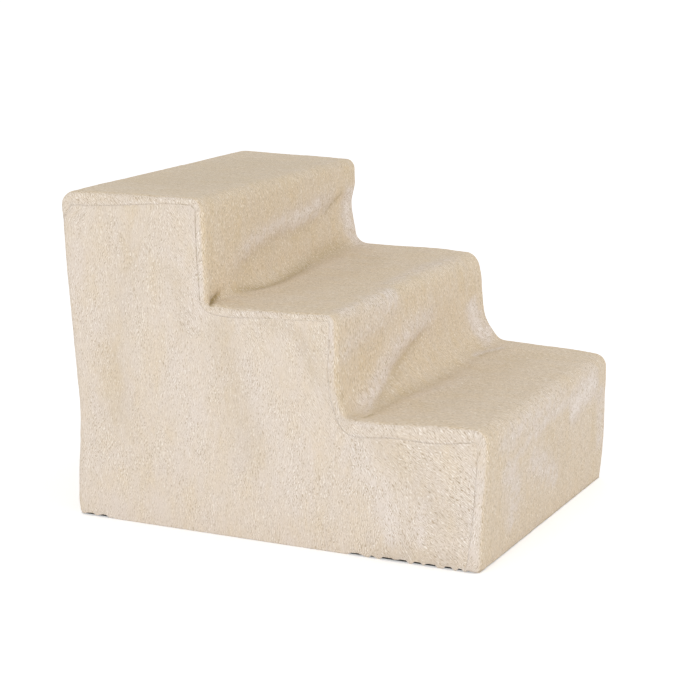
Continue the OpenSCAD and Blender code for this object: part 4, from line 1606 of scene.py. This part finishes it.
    def _hem_lift(self, taut: np.ndarray) -> np.ndarray:
        """Return how far the pile at the hem stands off the floor, so that the binding shows in places.

        Args:
            taut: Rows x, y, z in metres, on the taut cover.

        Returns:
            The lift of each point in metres.
        """
        x, y, z = taut.T
        near_hem = 1.0 - smooth(z, self.outline.hem, self.outline.hem + 0.006)
        along = np.column_stack([x * 0.2, y, np.zeros_like(z)])
        coarse, fine = self.dash_sizes
        wave = grain(along, coarse, 3.0) + 0.4 * grain(along, fine, 13.0)
        window = sum(smooth(y, a - 0.01, a + 0.01) * (1.0 - smooth(y, b - 0.01, b + 0.01))
                     for a, b in self.hem_ranges)
        shown = self.hem_show * window * smooth(wave, -0.16, 0.10) * (np.abs(x) > 0.16)
        return near_hem * (shown + self.hem_waver * wave)

    def _finish(self, name: str, mesh: Mesh, node: str) -> Object:
        """Put a piece of the cover into the scene, and give it its thickness and its knitted back.

        Args:
            name: The piece's name.
            mesh: Its draped mesh.
            node: The CAD node that it stands for.

        Returns:
            The piece.
        """
        piece = add_piece(name, mesh, self.plush, Body.COVER, Slot.PLUSH, [node])
        mesh.materials.append(self.backing)
        backing = piece.modifiers.new("backing", "SOLIDIFY")
        backing.thickness = self.thickness
        backing.offset = -1.0
        backing.material_offset = 1
        return piece


@dataclass
class HemBinding:
    """The black woven binding inside the hem of the cover."""

    outline: Outline
    drape: Drape
    inset: float = 0.0024
    width: float = 0.0032
    height: float = 0.0026
    rise: float = 0.0002
    corner_r: float = 0.005
    edge_r: float = 0.0006
    pitch: float = 0.006

    def build(self) -> Object:
        """Make the ring of binding, laid where the draped hem lies.

        Returns:
            The piece.
        """
        o = self.outline
        bm = bmesh.new()
        bmesh.ops.create_grid(bm, x_segments=1, y_segments=1, size=1.0)
        across, length = o.half_w - self.inset, o.rear - self.inset
        bmesh.ops.scale(bm, vec=(across, length, 1.0), verts=bm.verts)
        rounded(bm, bm.verts[:], self.corner_r, 5)
        for way, reach in (((1, 0, 0), across), ((0, 1, 0), length)):
            sliced(bm, way, -reach, reach, self.pitch)
        bmesh.ops.dissolve_faces(bm, faces=bm.faces[:], use_verts=False)
        bmesh.ops.inset_region(bm, faces=bm.faces[:], thickness=self.width, use_boundary=True,
                               use_even_offset=True)
        bmesh.ops.delete(bm, geom=[max(bm.faces, key=lambda f: f.calc_area())], context="FACES_ONLY")
        extruded(bm, bm.faces[:], self.height)
        rounded(bm, sharp_edges(bm), self.edge_r, 2)
        bmesh.ops.recalc_face_normals(bm, faces=bm.faces)
        bmesh.ops.translate(bm, vec=(0, 0, o.hem), verts=bm.verts)
        mesh = as_mesh(bm, "hem_binding_tape")
        taut = coordinates(mesh)
        lift = taut[:, 2] - o.hem
        taut[:, 2] = o.hem
        points = self.drape.move(taut)
        points[:, 2] += lift + self.rise
        put_coordinates(mesh, points)
        return add_piece("hem_binding_tape", mesh, BINDING.material(), Body.COVER, Slot.BINDING,
                         ["hem_binding"])


# Outward direction of the tapes at each place
TAPE_WAYS = {"left": (-1, 0, 0), "right": (1, 0, 0), "front": (0, -1, 0), "rear": (0, 1, 0)}


@dataclass
class GripTapes:
    """Hook tapes on the frame, and loop tapes sewn inside the cover along both edges."""

    base: float = 0.5
    border: float = 0.0020
    corner_r: float = 0.003
    edge_r: float = 0.0002
    stitch: float = 0.0030
    stitch_gap: float = 0.0014
    thread: tuple[float, float] = (0.0003, 0.00022)
    hook_pitch: float = 0.0024
    hook_r: float = 0.00042
    sewn_on: dict[str, float] = field(default_factory=lambda: {
        "left": 0.0022, "right": 0.0022, "front": 0.0012, "rear": 0.0001})

    def build(self) -> None:
        """Make one hook tape and one loop tape at each place."""
        weave, loops, hooks = BINDING.material(), LOOPS.material(), HOOKS.material()
        for place, way in TAPE_WAYS.items():
            bm = self._base(f"loop_tape_{place}", self.sewn_on[place])
            self._loops(bm, *self._size(f"loop_tape_{place}"))
            self._put(bm, f"loop_tape_{place}", -Vector(way), weave, loops, Body.COVER, Slot.LOOP)
            bm = self._base(f"hook_tape_{place}")
            self._hooks(bm, *self._size(f"hook_tape_{place}"))
            self._put(bm, f"hook_tape_{place}", Vector(way), hooks, hooks, Body.FRAME, Slot.HOOK)

    def _size(self, node: str) -> Point:
        """Return a tape's length, width and thickness."""
        low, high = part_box(node)
        size = high - low
        return max(size.x, size.y), size.z, min(size.x, size.y)

    def _base(self, node: str, behind: float = 0.0) -> BMesh:
        """Return the tape's base, flat on Z = 0, or as far behind that as the strip under it is thick."""
        length, width, thick = self._size(node)
        return self._slab(length, width, -behind, self.base * thick)

    def _put(
        self,
        bm: BMesh,
        node: str,
        up: Vector,
        base: Material,
        field_of: Material,
        body: Body,
        slot: Slot,
    ) -> None:
        """Turn a flat tape upright, and put it where its node stands.

        Args:
            bm: The tape, with its face up.
            node: The node that it stands for.
            up: Where its face looks.
            base: The base's material.
            field_of: The material of its hooks or loops.
            body: The body that it rides on.
            slot: Its slot.
        """
        low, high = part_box(node)
        along = Vector((0, 0, 1)).cross(up)
        turn = Matrix((along, up.cross(along), up)).transposed()
        back = (low + high) / 2 - up * (self._size(node)[2] / 2)
        bmesh.ops.transform(bm, matrix=Matrix.Translation(back) @ turn.to_4x4(), verts=bm.verts)
        bmesh.ops.recalc_face_normals(bm, faces=bm.faces)
        word = "moulded" if body is Body.FRAME else "sewn"
        piece = add_piece(f"{word}_{node}", bm, base, body, slot, [node])
        if field_of is not base:
            piece.data.materials.append(field_of)

    def _loops(self, bm: BMesh, length: float, width: float, thick: float) -> None:
        """Lay the soft field of loops and the stitches beside it.

        Args:
            bm: The tape's base, which is added to.
            length: The tape's length.
            width: Its width.
            thick: Its thickness.
        """
        low = self.base * thick
        pad = self._slab(length - 3 * self.border, width - 3 * self.border, low, thick)
        for face in pad.faces:
            face.material_index = 1
        mesh = as_mesh(pad, "loops")
        bm.from_mesh(mesh)
        bpy.data.meshes.remove(mesh)
        self._sew(bm, length, width, low)

    def _hooks(self, bm: BMesh, length: float, width: float, thick: float) -> None:
        """Stand rows of small mushroom hooks on the base.

        Args:
            bm: The tape's base, which is added to.
            length: The tape's length.
            width: Its width.
            thick: Its thickness.
        """
        low = self.base * thick
        pitch = self.hook_pitch
        rows, count = (int((reach - 2 * self.border) / pitch) for reach in (width, length))
        row = bmesh.new()
        for i in range(rows):
            at = Vector(((0.5 - count / 2) * pitch, (i + 0.5 - rows / 2) * pitch, (low + thick) / 2))
            bmesh.ops.create_cone(row, cap_ends=True, segments=6, radius1=0.6 * self.hook_r,
                                  radius2=self.hook_r, depth=thick - low, matrix=Matrix.Translation(at))
        mesh = as_mesh(row, "hooks")
        points = coordinates(mesh)
        for k in range(count):
            put_coordinates(mesh, points + np.array((k * pitch, 0.0, 0.0)))
            bm.from_mesh(mesh)
        bpy.data.meshes.remove(mesh)

    def _slab(self, length: float, width: float, low: float, high: float) -> BMesh:
        """Return a thin slab with rounded corners and edges, between two heights.

        Args:
            length: Its length.
            width: Its width.
            low: Its underside.
            high: Its top.

        Returns:
            The slab.
        """
        bm = bmesh.new()
        bmesh.ops.create_grid(bm, x_segments=1, y_segments=1, size=0.5)
        bmesh.ops.scale(bm, vec=(length, width, 1.0), verts=bm.verts)
        rounded(bm, bm.verts[:], self.corner_r, 5)
        bmesh.ops.translate(bm, vec=(0, 0, low), verts=bm.verts)
        extruded(bm, bm.faces[:], high - low)
        rounded(bm, sharp_edges(bm), self.edge_r, 2)
        bmesh.ops.recalc_face_normals(bm, faces=bm.faces)
        return bm

    def _sew(self, bm: BMesh, length: float, width: float, low: float) -> None:
        """Lay a row of stitches along each long border.

        Args:
            bm: The tape, which is added to.
            length: The tape's length.
            width: Its width.
            low: The height that the stitches lie at.
        """
        count = int((length - 2 * self.corner_r) / (self.stitch + self.stitch_gap))
        pitch = (length - 2 * self.corner_r) / count
        size = Matrix.Diagonal((self.stitch / 2, *self.thread, 1.0))
        for row in (-1, 1):
            beside = row * (width - 1.5 * self.border) / 2
            for k in range(count):
                at = Vector((-length / 2 + self.corner_r + (k + 0.5) * pitch, beside, low))
                bmesh.ops.create_icosphere(bm, subdivisions=1, radius=1.0,
                                           matrix=Matrix.Translation(at) @ size)


def turned(profile: Sequence[tuple[float, float]], segments: int) -> BMesh:
    """Return a shape turned about Z.

    Args:
        profile: Radius and height of its outline, from one end to the other.
        segments: Faces around it.

    Returns:
        The shape, closed where the outline meets the axis.
    """
    bm = bmesh.new()
    verts = [bm.verts.new((r, 0.0, h)) for r, h in profile]
    edges = [bm.edges.new(pair) for pair in zip(verts[:-1], verts[1:])]
    bmesh.ops.spin(bm, geom=verts + edges, cent=(0, 0, 0), axis=(0, 0, 1), angle=2 * math.pi, steps=segments,
                   use_merge=True, use_duplicate=False)
    bmesh.ops.remove_doubles(bm, verts=bm.verts, dist=1e-6)
    bmesh.ops.recalc_face_normals(bm, faces=bm.faces)
    return bm


@dataclass
class PanScrews:
    """Zinc-plated pan-head screws with a cross recess, one piece for each group of the frame."""

    head_r: float = 0.0040
    head_h: float = 0.0022
    shank_r: float = 0.0019
    shank_l: float = 0.0150
    flat_r: float = 0.0024
    wing: float = 0.0017
    slot_w: float = 0.00042
    recess: float = 0.0011
    taper: float = 0.62
    core: float = 0.72
    neck: float = 0.001
    tip: float = 0.004
    pitch: float = 0.0014
    apart: tuple[float, float] = (2.2, 1.3)
    sides: int = 24
    ways: dict[str, Point] = field(default_factory=lambda: {
        "tread_screws": (0.0, 0.0, 1.0), "riser_screws": (0.0, -1.0, 0.0), "back_screws": (0.0, 1.0, 0.0),
        "rail_screws": (0.0, 0.0, -1.0)})

    def build(self, nodes: dict[str, Object]) -> dict[str, list[Vector]]:
        """Put a screw wherever the frame has one.

        Args:
            nodes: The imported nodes, which say where the screws stand.

        Returns:
            The middle of the top of each head, by node.
        """
        steel = ZincFinish().material()
        heads, template = {}, as_mesh(self._screw(), "pan_screw")
        for node, way in self.ways.items():
            bm = bmesh.new()
            feet = self._places(nodes[node].data, Vector(way))
            heads[node] = [foot + Vector(way) * self.head_h for foot in feet]
            for k, foot in enumerate(feet):
                count = len(bm.verts)
                bm.from_mesh(template)
                bm.verts.ensure_lookup_table()
                turn = Vector(way).to_track_quat("Z", "Y").to_matrix().to_4x4()
                spin = Matrix.Rotation(0.7 * k + 0.3, 4, "Z")
                bmesh.ops.transform(bm, matrix=Matrix.Translation(foot) @ turn @ spin, verts=bm.verts[count:])
            add_piece(f"zinc_{node}", bm, steel, Body.FRAME, Slot.STEEL, [node])
        bpy.data.meshes.remove(template)
        return heads

    def _places(self, mesh: Mesh, way: Vector) -> list[Vector]:
        """Return the middle of the underside of each head in a node's mesh.

        Args:
            mesh: The node's mesh.
            way: Where its screws look.

        Returns:
            One place for each screw.
        """
        points = coordinates(mesh)
        heights = points @ np.array(way)
        left = list(range(len(points)))
        places = []
        while left:
            top = max(left, key=lambda i: heights[i])
            away = points[left] - points[top]
            along = away @ np.array(way)
            beside = np.linalg.norm(away - np.outer(along, way), axis=1)
            wide, deep = self.apart
            mine = [i for i, b, a in zip(left, beside, along)
                    if b < wide * self.head_r and a > -deep * self.shank_l]
            group = points[mine]
            centre = Vector((group.min(0) + group.max(0)) / 2)
            centre += way * (float(heights[mine].max()) - self.head_h - centre.dot(way))
            places.append(centre)
            gone = set(mine)
            left = [i for i in left if i not in gone]
        return places

    def _screw(self) -> BMesh:
        """Return one screw: the head above Z = 0, the threaded shank below it.

        Returns:
            The screw.
        """
        outline = [(self.flat_r, self.head_h), (0.0032, 0.93 * self.head_h), (0.0038, 0.66 * self.head_h),
                   (self.head_r, 0.28 * self.head_h), (self.head_r - 0.0001, 0.0), (self.shank_r, 0.0)]
        core, turns = self.core * self.shank_r, int((self.shank_l - self.tip) / self.pitch)
        for k in range(turns):
            low = -self.neck - k * self.pitch
            outline += [(core, low), (self.shank_r, low - self.pitch / 2)]
        outline += [(core, -self.neck - turns * self.pitch), (0.0, -self.shank_l)]
        bm = turned(outline, self.sides)
        rim = [e for e in bm.edges if e.is_boundary]
        corners = []
        for quarter in range(4):
            turn = Matrix.Rotation(quarter * math.pi / 2, 3, "Z")
            corners += [turn @ Vector(c) for c in ((self.wing, -self.slot_w, self.head_h),
                                                   (self.wing, self.slot_w, self.head_h),
                                                   (self.slot_w, self.slot_w, self.head_h))]
        cross = bm.faces.new([bm.verts.new(c) for c in corners])
        bmesh.ops.subdivide_edges(bm, edges=cross.edges[:], cuts=1)
        bmesh.ops.bridge_loops(bm, edges=rim + cross.edges[:])
        sunk = extruded(bm, [cross], -self.recess)
        bmesh.ops.scale(bm, vec=(self.taper, self.taper, 1.0), verts=sunk)
        bmesh.ops.delete(bm, geom=[cross], context="FACES_ONLY")
        bmesh.ops.recalc_face_normals(bm, faces=bm.faces)
        return bm


@dataclass
class RubberFeet:
    """Six turned rubber feet with a grip ring underneath and a stem that is pressed into the rim."""

    stem_r: float = 0.0030
    rim: float = 0.0009
    collar: float = 0.00085
    pad: float = 0.0038
    sides: int = 40
    names: tuple[str, ...] = ("foot_front_left", "foot_front_right", "foot_middle_left", "foot_middle_right",
                              "foot_rear_left", "foot_rear_right")

    def build(self) -> None:
        """Make the feet where their nodes stand."""
        rubber = RUBBER.material()
        for name in self.names:
            low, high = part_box(name)
            bm = self._foot((high.x - low.x) / 2, high.z)
            bmesh.ops.translate(bm, vec=((low.x + high.x) / 2, (low.y + high.y) / 2, 0.0), verts=bm.verts)
            add_piece(f"rubber_{name}", bm, rubber, Body.FRAME, Slot.RUBBER, [name])

    def _foot(self, r: float, top: float) -> BMesh:
        """Return one foot on Z = 0, with its stem up to a height.

        Args:
            r: The pad's radius.
            top: The height of the stem's end.

        Returns:
            The foot.
        """
        pad, e, stem = self.pad, self.rim, self.stem_r
        under = [(0.0, 0.0006), (r * 0.38, 0.0006), (r * 0.44, 0.0), (r * 0.62, 0.0), (r * 0.66, 0.0007),
                 (r * 0.72, 0.0007), (r * 0.76, 0.0), (r - e, 0.0), (r - 0.3 * e, 0.3 * e), (r, e)]
        over = [(r, pad - 1.6 * e), (r - 0.3 * e, pad - 0.8 * e), (r - e, pad - 0.25 * e), (r - 2 * e, pad),
                (stem + 0.0004, pad), (stem, pad + 0.0004), (stem, top - self.collar), (stem - 0.0006, top),
                (0.0, top)]
        return turned(under + over, self.sides)


# Studio


@dataclass
class Studio:
    """The camera at the photograph's angle, a pale floor and soft light."""

    camera_at: Point = (-1.7189, -0.8367, 0.5942)
    azimuth: float = -63.838
    elevation: float = 12.573
    roll: float = -0.475
    lens: float = 99.69
    ambient: float = 0.81
    softboxes: tuple[tuple[str, Point, float], ...] = (
        ("key", (-2.9, -0.5, 0.4), 30.0), ("fill", (0.5, -2.9, 0.35), 19.0))
    softbox_size: float = 2.0
    aimed_at: Point = (0.0, 0.0, 0.15)
    floor_size: float = 60.0
    floor_glow: float = 0.34

    def build(self) -> None:
        """Make the camera, the lights, the world and the floor."""
        self._camera()
        for name, at, watts in self.softboxes:
            self._softbox(name, at, watts)
        self._world()
        self._floor()
        bpy.context.scene.view_settings.view_transform = "Standard"

    def _camera(self) -> None:
        """Place the camera."""
        a, e, roll = (math.radians(v) for v in (self.azimuth, self.elevation, self.roll))
        back = Vector((math.sin(a) * math.cos(e), -math.cos(a) * math.cos(e), math.sin(e)))
        level = Vector((math.cos(a), math.sin(a), 0.0))
        up = back.cross(level)
        right = level * math.cos(roll) + up * math.sin(roll)
        up = up * math.cos(roll) - level * math.sin(roll)
        turn = Matrix((right, up, back)).transposed().to_4x4()
        camera = bpy.data.objects.new("camera", bpy.data.cameras.new("camera"))
        camera.matrix_world = Matrix.Translation(self.camera_at) @ turn
        camera.data.lens = self.lens
        camera.data.clip_end = 100.0
        bpy.context.scene.collection.objects.link(camera)
        bpy.context.scene.camera = camera

    def _softbox(self, name: str, at: Point, watts: float) -> None:
        """Stand a large soft light beside the stairs.

        Args:
            name: The light's name.
            at: Where it stands.
            watts: Its power.
        """
        light = bpy.data.lights.new(name, "AREA")
        light.energy = watts
        light.size = self.softbox_size
        light.color = (1.0, 0.985, 0.97)
        lamp = bpy.data.objects.new(name, light)
        lamp.location = at
        lamp.rotation_mode = "QUATERNION"
        lamp.rotation_quaternion = (Vector(self.aimed_at) - Vector(at)).to_track_quat("-Z", "Y")
        bpy.context.scene.collection.objects.link(lamp)

    def _world(self) -> None:
        """Light the scene evenly from all sides, in front of a white backdrop."""
        world = bpy.data.worlds.new("studio")
        world.use_nodes = True
        g = Graph(world.node_tree)
        seen = g.add("LightPath").outputs["Is Camera Ray"]
        strength = g.spread(seen, *UNIT, (self.ambient, 1.0))
        g.dress(world.node_tree.nodes["Background"], {"Color": (1.0, 1.0, 1.0, 1.0), "Strength": strength})
        bpy.context.scene.world = world

    def _floor(self) -> None:
        """Lay a pale floor that stays nearly white in the picture, and lets a view from below through."""
        material, g, shader = new_material("pale_floor")
        seen = g.add("LightPath").outputs["Is Camera Ray"]
        behind = g.math("MULTIPLY", g.add("NewGeometry").outputs["Backfacing"], seen)
        g.dress(shader, {
            "Base Color": (0.9, 0.9, 0.9, 1.0),
            "Roughness": 0.9,
            "Emission Color": (1.0, 1.0, 1.0, 1.0),
            "Emission Strength": g.math("MULTIPLY", seen, self.floor_glow),
            "Alpha": g.math("SUBTRACT", 1.0, behind),
        })
        bm = bmesh.new()
        bmesh.ops.create_grid(bm, x_segments=2, y_segments=2, size=self.floor_size / 2)
        mesh = as_mesh(bm, "floor")
        mesh.materials.append(material)
        floor = bpy.data.objects.new("floor", mesh)
        bpy.context.scene.collection.objects.link(floor)


FRAME_FINISHES = {
    DARK_PLASTIC: ("side_panel_left", "side_panel_right"),
    GREY_PLASTIC: ("tread_lower", "tread_middle", "tread_upper", "riser_lower", "riser_middle", "riser_upper",
                   "back_panel", "floor_rail"),
}


def dress_frame(nodes: dict[str, Object]) -> None:
    """Give every CAD node that stays its material.

    Args:
        nodes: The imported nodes, by name.
    """
    for finish, names in FRAME_FINISHES.items():
        material = finish.material()
        for name in names:
            nodes[name].data.materials.clear()
            nodes[name].data.materials.append(material)
            log.info("%s: %s", name, finish.name)


def main() -> None:
    """Build the stairs around the frame."""
    logging.basicConfig(level=logging.INFO, format="%(name)s: %(message)s")
    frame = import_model()
    Studio().build()
    dress_frame(frame["nodes"])
    heads = PanScrews().build(frame["nodes"])
    RubberFeet().build()
    outline = Outline.from_frame()
    drape = Drape(outline, heads=heads["riser_screws"])
    PlushCover(outline, drape).build()
    HemBinding(outline, drape).build()
    GripTapes().build()


if __name__ == "__main__":
    main()
